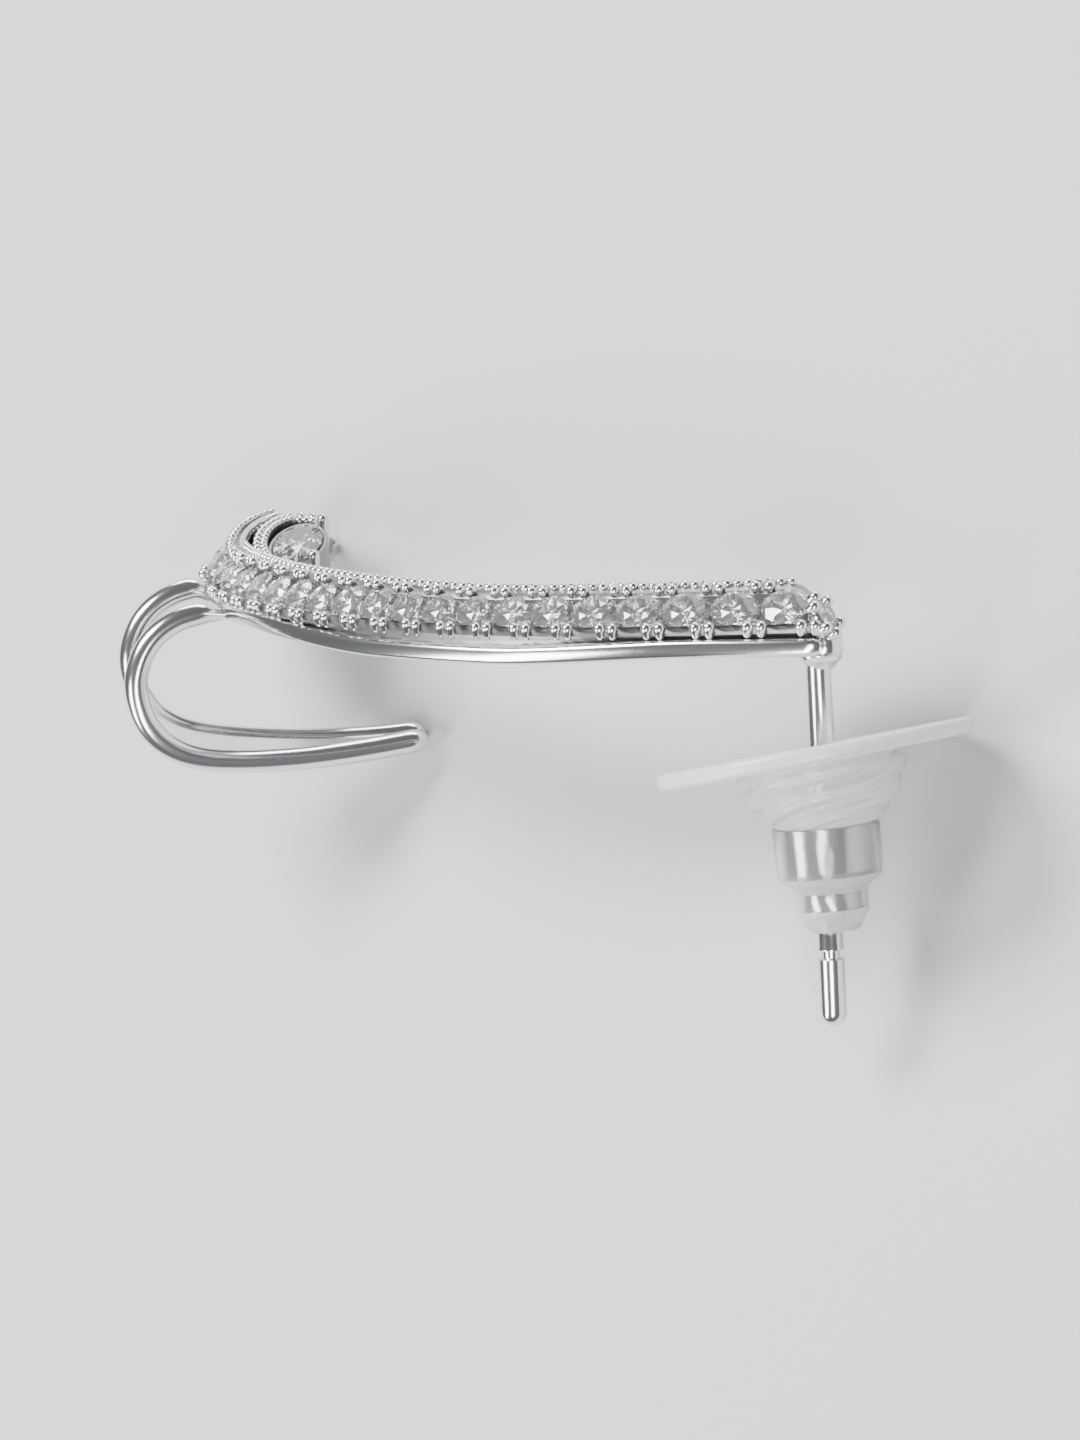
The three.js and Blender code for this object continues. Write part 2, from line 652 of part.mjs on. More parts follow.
function hookStrands() {
  const heading = bandFrame(HOOK_HEADING_AT);
  const root = bandFrame(HOOK_AT);
  const origin = root.point.clone().addScaledVector(root.out, HOOK_OUT)
    .addScaledVector(Z, RAIL_HEIGHT * 0.4);
  const inward = heading.out.clone().setZ(0).normalize().negate();
  const along = heading.along.clone().setZ(0).normalize();
  const curve = new THREE.CatmullRomCurve3(HOOK_COURSE.map(({ out, down }) => origin.clone()
    .addScaledVector(inward, out * (out < 0 ? HOOK_REACH : HOOK_ARM))
    .addScaledVector(Z, -down * HOOK_DROP)), false, 'centripetal');
  const count = HOOK_STATIONS - 1;
  const towardsFar = rad(SPREAD_HEADING);
  const shift = new THREE.Vector3(-Math.cos(towardsFar), Math.sin(towardsFar), 0)
    .multiplyScalar(STRAND_SPREAD).addScaledVector(Z, STRAND_STEP);
  const stations = Array.from({ length: count + 1 }, (_, i) => i / count);
  const near = stations.map((u) => curve.getPointAt(u));
  const far = stations.map((u, i) => near[i].clone().addScaledVector(shift,
    lerp(1, TIP_SPREAD, smooth(u, 0.5, 1) * 0.55 + Math.max(0, (u - 0.5) / 0.5) * 0.45)));
  hookTip.copy(far[count]).addScaledVector(Y, STRAND_RADIUS * 0.4).addScaledVector(Z, -STRAND_RADIUS * 0.2);
  far[0].addScaledVector(Z, -ROOT_DROP);
  far[1].addScaledVector(Z, -ROOT_DROP / 2);
  const frames = stations.map((u) => {
    const tangent = curve.getTangentAt(u);
    return { side: along.clone(), up: along.clone().cross(tangent).normalize() };
  });
  const round = (u) => (u > 0.97 ? Math.sqrt(Math.max(0, 1 - ((u - 0.97) / 0.032) ** 2)) : 1);
  const radii = stations.map((u) => STRAND_RADIUS * Math.max(0.5, round(u)));
  const firstWeb = Math.round(WEB_START * count);
  const web = loft(stations.slice(firstWeb).map((u, k) => {
    const i = k + firstWeb;
    const half = (WEB_THICKNESS / 2) * Math.max(0.5, round(u));
    return [
      near[i].clone().addScaledVector(frames[i].up, half),
      near[i].clone().addScaledVector(frames[i].up, -half),
      far[i].clone().addScaledVector(frames[i].up, -half),
      far[i].clone().addScaledVector(frames[i].up, half),
    ];
  }));
  const farRadii = [STRAND_RADIUS * ROOT_SHARE, ...radii.slice(1)];
  return [tube(near, frames, radii, SIDES), tube(far, frames, farRadii, SIDES), web];
}

// Post

function post() {
  const ridge = POST_RADIUS * 1.06;
  const lower = POST_RADIUS * 1.05;
  return lathe([
    [0, BAND_START.z + 0.5], [POST_RADIUS, BAND_START.z + 0.5],
    [POST_RADIUS, -NOTCH_AT + NOTCH_HALF * 2], [ridge, -NOTCH_AT + NOTCH_HALF * 1.6],
    [NOTCH_RADIUS, -NOTCH_AT + NOTCH_HALF], [NOTCH_RADIUS, -NOTCH_AT - NOTCH_HALF],
    [ridge, -NOTCH_AT - NOTCH_HALF * 1.6], [lower, -NOTCH_AT - NOTCH_HALF * 2.4],
    [lower, -POST_LENGTH + lower], [lower * 0.8, -POST_LENGTH + lower * 0.4],
    [lower * 0.45, -POST_LENGTH], [0, -POST_LENGTH],
  ], 16);
}

function foot() {
  const block = lathe([
    [0, BAND_START.z], [FOOT_RADIUS * 1.1, BAND_START.z], [FOOT_RADIUS, BAND_START.z + 0.35],
    [FOOT_RADIUS * 0.9, BAND_START.z + 0.82], [0, BAND_START.z + 0.82],
  ], 12);
  block.translate(FOOT_OFFSET, 0, 0);
  const flare = lathe([
    [0, -0.22], [POST_RADIUS + 0.02, -0.22], [FOOT_RADIUS + 0.1, 0.05],
    [FOOT_RADIUS + 0.12, BAND_START.z + 0.1], [0, BAND_START.z + 0.1],
  ], 12);
  flare.translate(FOOT_OFFSET / 2, 0, 0);
  return [block, flare];
}

function climberFrame() {
  const stations = bandStations();
  const endRing = railRing(METAL_START - RAIL_HEIGHT * 0.3, 0.75);
  const rail = loft([endRing, ...stations.map((s) => railRing(s, 1))]);
  const channel = loft(stations.map(channelRing));
  return join([
    rail, channel, ...bandProngs(), ...shelfBeads(), ...endSetting(),
    headFloor(), headCollar(), ...headWire(), ...headRope(), ...headClaws(),
    ...hookStrands(), post(), ...foot(),
  ]);
}

// Ear back: each part is made round Z, leaned on the post and drilled along it

function leaned(geometry, lean, x, z) {
  geometry.rotateX(rad(-lean.front));
  geometry.rotateY(rad(-lean.side));
  geometry.translate(x, 0, z);
  return toManifold(geometry);
}

function bore(radius) {
  const drill = weld(new THREE.CylinderGeometry(radius, radius, POST_LENGTH * 2.5, 16));
  drill.rotateX(Math.PI / 2);
  return toManifold(drill);
}

const bodyAt = (geometry) => leaned(geometry, BODY_LEAN, 0, -COLLAR_END);
const jacketRadius = SLEEVE_RADIUS + FIT_GAP + JACKET_SKIN;
const jacketNeck = NECK_RADIUS + FIT_GAP + JACKET_SKIN;

function clutchPad() {
  const half = PAD_THICKNESS / 2;
  const disc = leaned(lathe([
    [0, half], [PAD_RADIUS * 0.97, half], [PAD_RADIUS, half * 0.4], [PAD_RADIUS, -half * 0.4],
    [PAD_RADIUS * 0.97, -half], [0, -half],
  ], BACK_SIDES), PAD_LEAN, PAD_CENTRE.x, PAD_CENTRE.z);
  const collar = leaned(lathe([
    [0, 0], ...COLLAR_FOLDS.map(([r, h]) => [r * COLLAR_RADIUS, -h * COLLAR_HEIGHT]),
    [jacketRadius, -COLLAR_HEIGHT], [0, -COLLAR_HEIGHT],
  ], BACK_SIDES), COLLAR_LEAN, PAD_CENTRE.x * 0.5, PAD_CENTRE.z - half * 0.5);
  const end = weld(new THREE.BoxGeometry(PAD_RADIUS * 2, PAD_RADIUS * 2, PAD_RADIUS));
  end.translate(0, 0, -PAD_RADIUS / 2);
  return disc.add(collar).subtract(bodyAt(end)).subtract(bore(BORE_RADIUS));
}

function clutchJacket() {
  const outer = lathe([
    [0, -FIT_GAP], [jacketRadius, -FIT_GAP], [jacketRadius * 0.97, -SLEEVE_LENGTH],
    [jacketNeck, -SLEEVE_LENGTH - 0.42], [jacketNeck * 0.97, -SLEEVE_LENGTH - NECK_LENGTH],
    [BORE_RADIUS * 1.5, -SLEEVE_LENGTH - NECK_LENGTH - NOSE_LENGTH],
    [0, -SLEEVE_LENGTH - NECK_LENGTH - NOSE_LENGTH],
  ], BACK_SIDES);
  const inner = lathe([
    [0, 1], [jacketRadius - JACKET_SKIN, 1], [jacketRadius * 0.97 - JACKET_SKIN, -SLEEVE_LENGTH + 0.04],
    [jacketNeck - JACKET_SKIN, -SLEEVE_LENGTH - 0.38],
    [jacketNeck - JACKET_SKIN, -SLEEVE_LENGTH - NECK_LENGTH + 0.08],
    [0, -SLEEVE_LENGTH - NECK_LENGTH + 0.08],
  ], BACK_SIDES);
  return bodyAt(outer).subtract(bodyAt(inner)).subtract(bore(BORE_RADIUS));
}

function clutchSleeve() {
  const bottom = -SLEEVE_LENGTH - NECK_LENGTH + 0.08 + FIT_GAP;
  const foot = SLEEVE_RADIUS * 0.97;
  const outer = lathe([
    [0, -FIT_GAP], [SLEEVE_RADIUS, -FIT_GAP], [foot, -SLEEVE_LENGTH + 0.1],
    [NECK_RADIUS, -SLEEVE_LENGTH - 0.3], [NECK_RADIUS, bottom], [0, bottom],
  ], BACK_SIDES);
  const inner = lathe([
    [0, 1], [SLEEVE_RADIUS - SLEEVE_WALL, 1], [foot - SLEEVE_WALL, -SLEEVE_LENGTH + 0.1],
    [NECK_RADIUS - SLEEVE_WALL, -SLEEVE_LENGTH - 0.3], [NECK_RADIUS - SLEEVE_WALL, bottom + SLEEVE_WALL],
    [0, bottom + SLEEVE_WALL],
  ], BACK_SIDES);
  return bodyAt(outer).subtract(bodyAt(inner)).subtract(bore(BORE_RADIUS));
}

// Scene graph

const polishedMetal = new THREE.MeshStandardMaterial({ color: 0xd4d5d7, metalness: 1, roughness: 0.12 });
const brushedMetal = new THREE.MeshStandardMaterial({ color: 0xb9bbbd, metalness: 1, roughness: 0.3 });
const clearStone = new THREE.MeshStandardMaterial({ color: 0xf3f6fa, metalness: 0, roughness: 0.02 });
const clearSoft = new THREE.MeshStandardMaterial({ color: 0xe6e9ec, metalness: 0, roughness: 0.3 });

const worn = new THREE.Group();

function addPiece(name, geometry, material) {
  const mesh = new THREE.Mesh(geometry, material);
  mesh.name = name;
  worn.add(mesh);
  return mesh;
}

addPiece('climber_frame', toGeometry(climberFrame()), polishedMetal);

stonePlaces.forEach(({ s, size }, i) => {
  const frame = bandFrame(s);
  const turned = new THREE.Matrix4().makeBasis(
    frame.along, new THREE.Vector3().crossVectors(faceNormal(frame), frame.along), faceNormal(frame),
  );
  const stone = addPiece(`band_stone_${String(i + 1).padStart(2, '0')}`, brilliant(size, size), clearStone);
  stone.quaternion.setFromRotationMatrix(turned);
  stone.position.copy(facePoint(frame, size, 0, 0));
});

const endStone = addPiece('end_stone', brilliant(END_STONE, END_STONE), clearStone);
endStone.quaternion.setFromUnitVectors(Z, endFrame.normal);
endStone.position.copy(endFrame.point);

const ovalStone = brilliant(HEAD_STONE_WIDTH, HEAD_STONE_LENGTH);
ovalStone.rotateZ(rad(HEAD_STONE_TURN));
ovalStone.translate(ROPE_RING.along, ROPE_RING.across, -0.05);
addPiece('oval_stone', inHeadPlane(ovalStone), clearStone);

addPiece('clutch_pad', toGeometry(clutchPad()), clearSoft);
addPiece('clutch_jacket', toGeometry(clutchJacket()), clearSoft);
addPiece('clutch_sleeve', toGeometry(clutchSleeve()), brushedMetal);

// Resting pose: the cuff lies on three points, and is seen from -Y

function restingPoints() {
  const towards = rad(PAD_CONTACT);
  const padEdge = new THREE.Vector3(
    PAD_RADIUS * Math.cos(towards), PAD_RADIUS * Math.sin(towards), -PAD_THICKNESS / 4,
  ).applyAxisAngle(X, rad(-PAD_LEAN.front)).applyAxisAngle(Y, rad(-PAD_LEAN.side));
  padEdge.add(new THREE.Vector3(PAD_CENTRE.x, 0, PAD_CENTRE.z));
  return [
    headPoint(CURL_CONTACT.along * CURL_RADIUS, CURL_CONTACT.across * CURL_RADIUS, -HEAD_LEVEL),
    hookTip,
    padEdge,
  ];
}

function nearestVertex(group, target) {
  const best = { distance: Infinity, point: new THREE.Vector3() };
  group.updateMatrixWorld(true);
  group.traverse((piece) => {
    if (!piece.isMesh) return;
    const position = piece.geometry.getAttribute('position');
    for (let i = 0; i < position.count; i += 1) {
      const point = new THREE.Vector3().fromBufferAttribute(position, i).applyMatrix4(piece.matrixWorld);
      const distance = point.distanceTo(target);
      if (distance < best.distance) Object.assign(best, { distance, point });
    }
  });
  return best.point;
}

function restingTurn(group) {
  const [a, b, c] = restingPoints().map((target) => nearestVertex(group, target));
  const up = b.clone().sub(a).cross(c.clone().sub(a)).normalize();
  const front = new THREE.Vector3(0, -Math.cos(rad(VIEW_RISE)), Math.sin(rad(VIEW_RISE)));
  const back = front.addScaledVector(up, -front.dot(up)).normalize().negate();
  const side = back.clone().cross(up);
  return new THREE.Matrix4().makeBasis(side, back, up).invert();
}

const earCuff = new THREE.Group();
worn.quaternion.setFromRotationMatrix(restingTurn(worn));
earCuff.add(worn);
const box = new THREE.Box3().setFromObject(earCuff, true);
const middle = box.getCenter(new THREE.Vector3());
worn.position.set(-middle.x, -middle.y, -box.min.z);

export default earCuff;
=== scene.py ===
"""Looks of a stone-set ear cuff with a rim hook, a post and a clear ear back.

Every piece is shaped in millimetres in the wearing frame, where the post runs down -Z from the
origin and the band lies level, and is then settled into the resting pose of the CAD model.
"""
import math

import bmesh
import bpy
from mathutils import Matrix, Vector


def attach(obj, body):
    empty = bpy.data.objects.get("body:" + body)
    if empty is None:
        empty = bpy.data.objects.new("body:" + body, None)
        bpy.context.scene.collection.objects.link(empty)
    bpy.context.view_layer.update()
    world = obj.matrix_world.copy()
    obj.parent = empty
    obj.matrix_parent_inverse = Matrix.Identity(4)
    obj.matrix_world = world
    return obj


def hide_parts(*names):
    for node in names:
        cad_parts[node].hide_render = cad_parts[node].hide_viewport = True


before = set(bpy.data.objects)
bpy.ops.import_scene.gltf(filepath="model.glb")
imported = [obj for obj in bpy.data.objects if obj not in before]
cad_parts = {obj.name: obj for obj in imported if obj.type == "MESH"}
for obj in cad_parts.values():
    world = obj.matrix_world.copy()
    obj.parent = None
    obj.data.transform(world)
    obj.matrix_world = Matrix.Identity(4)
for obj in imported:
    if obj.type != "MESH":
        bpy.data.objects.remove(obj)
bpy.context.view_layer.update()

# Resting pose: the direction that is up when the cuff lies down, and where its origin then is
REST_UP = Vector((-0.621656, -0.735847, 0.268464))
REST_ORIGIN = Vector((4.450610, -11.470261, 5.560874))

# View of the photograph, in the wearing frame: camera, scale and the pixel of the origin
VIEW_RISE = 9.0
VIEW_ROLL = 3.0
VIEW_DISTANCE = 220.0
PIXELS_PER_MM = 32.0
FRAME_PIXELS = (1080, 1440)
ORIGIN_PIXEL = (818, 660)
SENSOR_WIDTH = 36

# Stones
FIRST_STONE = 1.56
SMALL_STONE = 1.21
GRADED_STONES = 8
STONE_GAP = 0.17
CURL_STONE_GAP = 0.23
SEAT_CLEARANCE = 0.05
SEAT_LINING = 0.012
TABLE_SHARE = 0.56
CROWN_SHARE = 0.15
GIRDLE_SHARE = 0.03
PAVILION_SHARE = 0.4
KITE_HEIGHT = 0.58
KITE_SPREAD = 0.03
LOWER_FACETS = (0.272, -0.217)
CULET_RADIUS = 0.004

# Course of the band
BAND_START = Vector((0.72, -0.17, 0.22))
ARM_LENGTH = 30.4
START_HEADING = 10.3
ARM_TURN = 50.1
ARM_TURN_RISE = 26.9
CURL_AT = 29.0
CURL_RADIUS = 2.6
CURL_END_HEADING = 205
CURL_TILT = 20
TILT_LENGTH = 4.2
METAL_START = 0.72
COURSE_STEP = 0.05
BAND_STATIONS = 110

# Section of the band
RAIL_WIDTH = 0.95
RAIL_HEIGHT = 0.6
RAIL_SAG = 0.34
SAG_RANGE = (4, 12, 16, 24)
RAIL_PROUD = 0.03
RAIL_ROUNDING = 0.3
RAIL_START = (0.18, 0.75)
END_LENGTH = 0.85
END_SLOPE = 0.45
END_SHRINK = 0.84
END_REACH = 0.1
STONE_LIFT = 0.4
LIFT_PER_SIZE = 0.73
BEVEL_START = 35
BEVEL_END = 48.5
SHELF_WIDTH = 0.36
LIP_DEPTH = 0.12
LIP_UNDER_STONE = 0.045
PRONG_RADIUS = 0.18
PRONG_PAIR = 0.23
PRONG_GRADING = 0.5
PRONG_ROOT = 0.17
BEAD_RADIUS = 0.175
BEAD_SPACING = 0.36

# Head of the band
HEAD_LEVEL = 2.1
WIRE_RADIUS = 0.17
WIRE_RING = {"along": -0.1, "across": -0.2, "long": 1.72, "wide": 2.15}
WIRE_SPAN = (106, 268)
WIRE_INSET = 0.12
BROW_END = 224
BROW_BEADS = 19
ROPE_RING = {"along": 0.16, "across": -0.27, "long": 1.26, "wide": 1.86}
ROPE_SPAN = (98, 262)
ROPE_BEAD = 0.13
ROPE_BEAD_COUNT = 19
RING_STATIONS = 48
HEAD_STONE_LENGTH = 2.6
HEAD_STONE_WIDTH = 1.6
HEAD_STONE_TURN = -14
HEAD_FLOOR = 0.9
FLOOR_THICKNESS = 0.8
FLOOR_OVAL = {"along": -0.4, "across": -0.1, "long": 1.6, "wide": 2.25}
CLAW_RADIUS = 0.2
CLAW_ANGLES = (-38, 62)

# Hook
HOOK_STATIONS = 110
HOOK_AT = 25.2
HOOK_OUT = 0.2
HOOK_HEADING_AT = 27
HOOK_REACH = 3.56
HOOK_DROP = 5.1
HOOK_ARM = 6.25
HOOK_ROOT = 0.45
STRAND_RADIUS = 0.4
STRAND_SPREAD = 2.6
SPREAD_HEADING = 84
STRAND_STEP = 0.5
ROOT_DROP = 0.38
ROOT_SHARE = 0.5
ROOT_STATIONS = 9
TIP_SPREAD = 0.28
TIP_START = 0.965
TIP_LENGTH = 0.037
WEB_THICKNESS = 0.46
WEB_START = 0.27
WEB_HOLLOW = 0.12
WEB_STEPS = 8
HOOK_COURSE = (
    (-0.07, 0.01), (-0.18, 0.0), (-0.36, -0.01), (-0.6, 0.03), (-0.8, 0.12), (-0.94, 0.26),
    (-1.0, 0.44), (-0.93, 0.66), (-0.76, 0.82), (-0.48, 0.93), (-0.06, 0.983), (0.31, 1.0),
    (0.66, 0.982), (1.0, 0.945),
)

# Post and end stone
POST_LENGTH = 11.66
POST_RADIUS = 0.4
NOTCH_AT = 9.35
NOTCH_RADIUS = 0.28
NOTCH_HALF = 0.12
FOOT_RADIUS = 0.58
FOOT_OFFSET = 0.2
END_STONE = 0.95
END_STONE_NORMAL = (0.78, -0.36, 0.5)
END_STONE_SHIFT = (0.13, -0.36, 1.26)
END_PRONG_ROOT = 0.13
END_PRONG_ANGLES = (35, 80, 145, 215, 280, 325)

# Ear back
PAD_RADIUS = 5.05
PAD_THICKNESS = 0.5
PAD_CENTRE = Vector((-0.22, 0, -2.96))
PAD_LEAN = (9, 8)
COLLAR_LEAN = (7, 6)
BODY_LEAN = (4, 2.7)
COLLAR_RADIUS = 2.62
COLLAR_END = 5.16
COLLAR_HEIGHT = 1.95
COLLAR_OUTLINE = (
    (0.9, 0.1), (0.92, 0), (1.0, -0.32), (0.95, -0.6), (0.96, -0.9), (0.84, -1.25),
    (0.77, -1.55), (0.68, -1.8), (0.6, -COLLAR_HEIGHT))
COLLAR_RINGS = 56
COLLAR_SIDES = 132
FOLD_DEPTH = 0.145
FOLD_RISE = 0.62
FOLD_TURNS = 4
SLEEVE_RADIUS = 1.5
SLEEVE_LENGTH = 1.64
NECK_RADIUS = 0.94
NECK_LENGTH = 1.2
JACKET_SKIN = 0.14
JACKET_SIDES = 72
JACKET_TAPER = 0.965
NECK_TAPER = 0.98
SHOULDER_HEIGHT = 0.52
SLEEVE_WALL = 0.2
FIT_GAP = 0.06
NOSE_LENGTH = 0.57
BORE_RADIUS = 0.5

# Studio, with its softboxes: name, direction, distance and size in metres, power
FLOOR_SIZE = 3
FLOOR_TONE = (0.52, 0.51, 0.495, 1)
AIR_TONE = (0.86, 0.87, 0.9, 1)
AIR_STRENGTH = 0.2
LIGHT_TARGET = (-9, 8, -2)
SOFTBOXES = (
    ("key_light", (-0.75, -0.35, 0.75), 0.3, (0.18, 0.1), 2.2),
    ("front_strip", (-0.1, -1.0, -0.25), 0.3, (0.24, 0.06), 0.9),
    ("side_strip", (-1.0, -0.45, -0.35), 0.28, (0.08, 0.2), 0.9),
    ("back_light", (0.1, 0.25, 1.0), 0.3, (0.25, 0.06), 0.8),
)

UP = Vector((0, 0, 1))


def clamp(value, least=0.0, most=1.0):
    return max(least, min(most, value))


def lerp(a, b, share):
    return a + (b - a) * share


def smooth(value, start, end):
    share = clamp((value - start) / (end - start))
    return share * share * (3 - 2 * share)


# Course of the band


def heading_at(s):
    share = min(s, CURL_AT) / ARM_LENGTH
    arm = math.radians(START_HEADING + ARM_TURN * share + ARM_TURN_RISE * share * share)
    return arm + max(0.0, s - CURL_AT) / CURL_RADIUS


def tilt_at(s):
    return math.radians(CURL_TILT) * smooth(s, CURL_AT - TILT_LENGTH / 2, CURL_AT + TILT_LENGTH / 2)


def direction_at(s):
    heading, tilt = heading_at(s), tilt_at(s)
    return Vector((
        -math.cos(heading),
        math.sin(heading) * math.cos(tilt),
        math.sin(heading) * math.sin(tilt),
    ))


BAND_END = CURL_AT + CURL_RADIUS * (math.radians(CURL_END_HEADING) - heading_at(CURL_AT))
course = [BAND_START.copy()]
while len(course) * COURSE_STEP < BAND_END + 1:
    course.append(course[-1] + direction_at((len(course) - 0.5) * COURSE_STEP) * COURSE_STEP)


class BandPlace:
    """A point on the rail's underside, with the directions of the band there."""

    def __init__(self, s):
        place = max(0.0, s / COURSE_STEP)
        i = min(int(place), len(course) - 2)
        tilt = tilt_at(s)
        self.s = s
        self.point = course[i].lerp(course[i + 1], place - i)
        self.along = direction_at(s)
        self.up = Vector((0, -math.sin(tilt), math.cos(tilt)))
        self.out = self.up.cross(self.along)
        self.bevel = math.radians(lerp(BEVEL_START, BEVEL_END, min(1.0, s / ARM_LENGTH)))
        self.size = size_at(s)
        self.normal = self.up * math.cos(self.bevel) + self.out * math.sin(self.bevel)

    def face(self, across, above=0.0, along=0.0):
        """A point in the bevelled plane of the stones."""
        sin, cos = math.sin(self.bevel), math.cos(self.bevel)
        lift = STONE_LIFT + LIFT_PER_SIZE * self.size + above * cos + across * sin
        return (self.point + self.up * lift + self.out * (above * sin - across * cos)
                + self.along * along)

    def level(self, out, up):
        """A point on the rail's own level."""
        return self.point + self.out * out + self.up * (up - sag_at(self.s))


def stone_size(i):
    return lerp(FIRST_STONE, SMALL_STONE, min(1.0, i / GRADED_STONES))


stones = []
reach, number = (stone_size(0) + stone_size(1)) / 2 + STONE_GAP, 1
while reach + stone_size(number) / 2 + PRONG_PAIR + PRONG_RADIUS <= BAND_END:
    stones.append((reach, stone_size(number)))
    gap = STONE_GAP if reach < CURL_AT - TILT_LENGTH / 2 else CURL_STONE_GAP
    reach += (stone_size(number) + stone_size(number + 1)) / 2 + gap
    number += 1


def size_at(s):
    if s <= stones[0][0]:
        return stones[0][1]
    for (a, size_a), (b, size_b) in zip(stones, stones[1:]):
        if s < b:
            return lerp(size_a, size_b, (s - a) / (b - a))
    return stones[-1][1]


def prong_reach(size):
    return size / 2 + PRONG_RADIUS * 0.85


def lip_reach(size):
    return prong_reach(size) + PRONG_RADIUS


def sag_at(s):
    start, full, until, end = SAG_RANGE
    return RAIL_SAG * (smooth(s, start, full) - smooth(s, until, end))


def end_share(s):
    """How far the band's inner side has widened, counted from the post."""
    return lerp(END_SLOPE, 1, smooth(s, METAL_START, METAL_START + END_LENGTH))


def pit_depth(size):
    """Depth of the seat below a stone's girdle, with room for the stone's point."""
    return PAVILION_SHARE * size + SEAT_CLEARANCE * 2


def rail_outer(place):
    return lip_reach(place.size) * math.cos(place.bevel) + RAIL_PROUD


# The resting pose as a matrix, from the wearing frame in millimetres to the frame in metres

rest_front = Vector((0, -math.cos(math.radians(VIEW_RISE)), math.sin(math.radians(VIEW_RISE))))
rest_back = -(rest_front - REST_UP * rest_front.dot(REST_UP)).normalized()
rest_side = rest_back.cross(REST_UP)
rest_turn = Matrix((rest_side, rest_back, REST_UP)).to_4x4()
REST = Matrix.Scale(0.001, 4) @ Matrix.Translation(REST_ORIGIN) @ rest_turn

# Making and finishing pieces


def only(piece):
    """Makes a piece the only selected and the active one."""
    if bpy.context.object and bpy.context.object.mode != "OBJECT":
        bpy.ops.object.mode_set(mode="OBJECT")
    bpy.ops.object.select_all(action="DESELECT")
    piece.select_set(True)
    bpy.context.view_layer.objects.active = piece


def lofted(name, rings):
    """A solid drawn out ring by ring: each step extrudes the last face and sets its corners."""
    bpy.ops.object.select_all(action="DESELECT")
    bpy.ops.mesh.primitive_circle_add(vertices=len(rings[0]), fill_type="NGON")
    piece = bpy.context.object
    piece.name = name
    bpy.ops.object.mode_set(mode="EDIT")
    bpy.ops.mesh.select_all(action="SELECT")
    mesh = bmesh.from_edit_mesh(piece.data)
    for vertex, point in zip(mesh.verts, rings[0]):
        vertex.co = point
    order = list(range(len(rings[0])))
    for ring in rings[1:]:
        mesh.verts.ensure_lookup_table()
        before = len(mesh.verts)
        bpy.ops.mesh.extrude_region_move()
        mesh = bmesh.from_edit_mesh(piece.data)
        mesh.verts.ensure_lookup_table()
        following = [0] * len(order)
        for i in range(before, len(mesh.verts)):
            vertex = mesh.verts[i]
            start = next(e.other_vert(vertex).index for e in vertex.link_edges
                         if e.other_vert(vertex).index < before)
            following[order.index(start)] = i
        for i, point in zip(following, ring):
            mesh.verts[i].co = point
        order = following
    bmesh.update_edit_mesh(piece.data)
    bpy.ops.mesh.select_all(action="SELECT")
    bpy.ops.mesh.normals_make_consistent(inside=False)
    bpy.ops.object.mode_set(mode="OBJECT")
    return piece


def turned(name, profile, sides, bored=False):
    """A turned piece from radii and heights: a circle drawn along and resized, then closed."""
    first_radius, height = profile[0]
    bpy.ops.object.select_all(action="DESELECT")
    bpy.ops.mesh.primitive_circle_add(
        vertices=sides, radius=first_radius, fill_type="NOTHING" if bored else "NGON",
        location=(0, 0, height))
    piece = bpy.context.object
    piece.name = name
    bpy.ops.object.transform_apply(location=True)
    bpy.ops.object.mode_set(mode="EDIT")
    bpy.ops.mesh.select_all(action="SELECT")
    radius = first_radius
    for next_radius, next_height in profile[1:]:
        bpy.ops.mesh.extrude_region_move(
            TRANSFORM_OT_translate={"value": (0, 0, next_height - height)})
        share = next_radius / radius
        bpy.ops.transform.resize(value=(share, share, 1), center_override=(0, 0, next_height))
        radius, height = next_radius, next_height
    if bored:
        bpy.ops.mesh.select_non_manifold()
        bpy.ops.mesh.bridge_edge_loops()
    bpy.ops.mesh.select_all(action="SELECT")
    bpy.ops.mesh.normals_make_consistent(inside=False)
    bpy.ops.object.mode_set(mode="OBJECT")
    return piece


def tube(name, points, radii, resolution=8):
    """A round wire along points, made from a curve with a round bevel."""
    bpy.ops.object.select_all(action="DESELECT")
    bpy.ops.curve.primitive_nurbs_path_add()
    piece = bpy.context.object
    piece.name = name
    piece.data.splines.clear()
    line = piece.data.splines.new("POLY")
    line.points.add(len(points) - 1)
    for spot, point, radius in zip(line.points, points, radii):
        spot.co = (*point, 1)
        spot.radius = radius
    piece.data.twist_mode = "MINIMUM"
    piece.data.bevel_depth = 1
    piece.data.bevel_resolution = resolution
    piece.data.use_fill_caps = True
    bpy.ops.object.convert(target="MESH")
    bpy.ops.object.mode_set(mode="EDIT")
    bpy.ops.mesh.select_all(action="SELECT")
    bpy.ops.mesh.remove_doubles(threshold=0.001)
    bpy.ops.mesh.normals_make_consistent(inside=False)
    bpy.ops.object.mode_set(mode="OBJECT")
    return bpy.context.object


def moved(piece, matrix):
    """Places a piece and puts its place in its mesh."""
    only(piece)
    piece.matrix_world = matrix @ piece.matrix_world
    bpy.ops.object.transform_apply(location=True, rotation=True, scale=True)
    return piece


def repeated(name, pattern, matrices):
    """Copies one modelled piece to many places and joins the copies."""
    copies = []
    for matrix in matrices:
        copy = pattern.copy()
        copy.data = pattern.data.copy()
        bpy.context.scene.collection.objects.link(copy)
        copy.matrix_world = matrix
        copies.append(copy)
    bpy.data.objects.remove(pattern)
    return joined(name, copies)


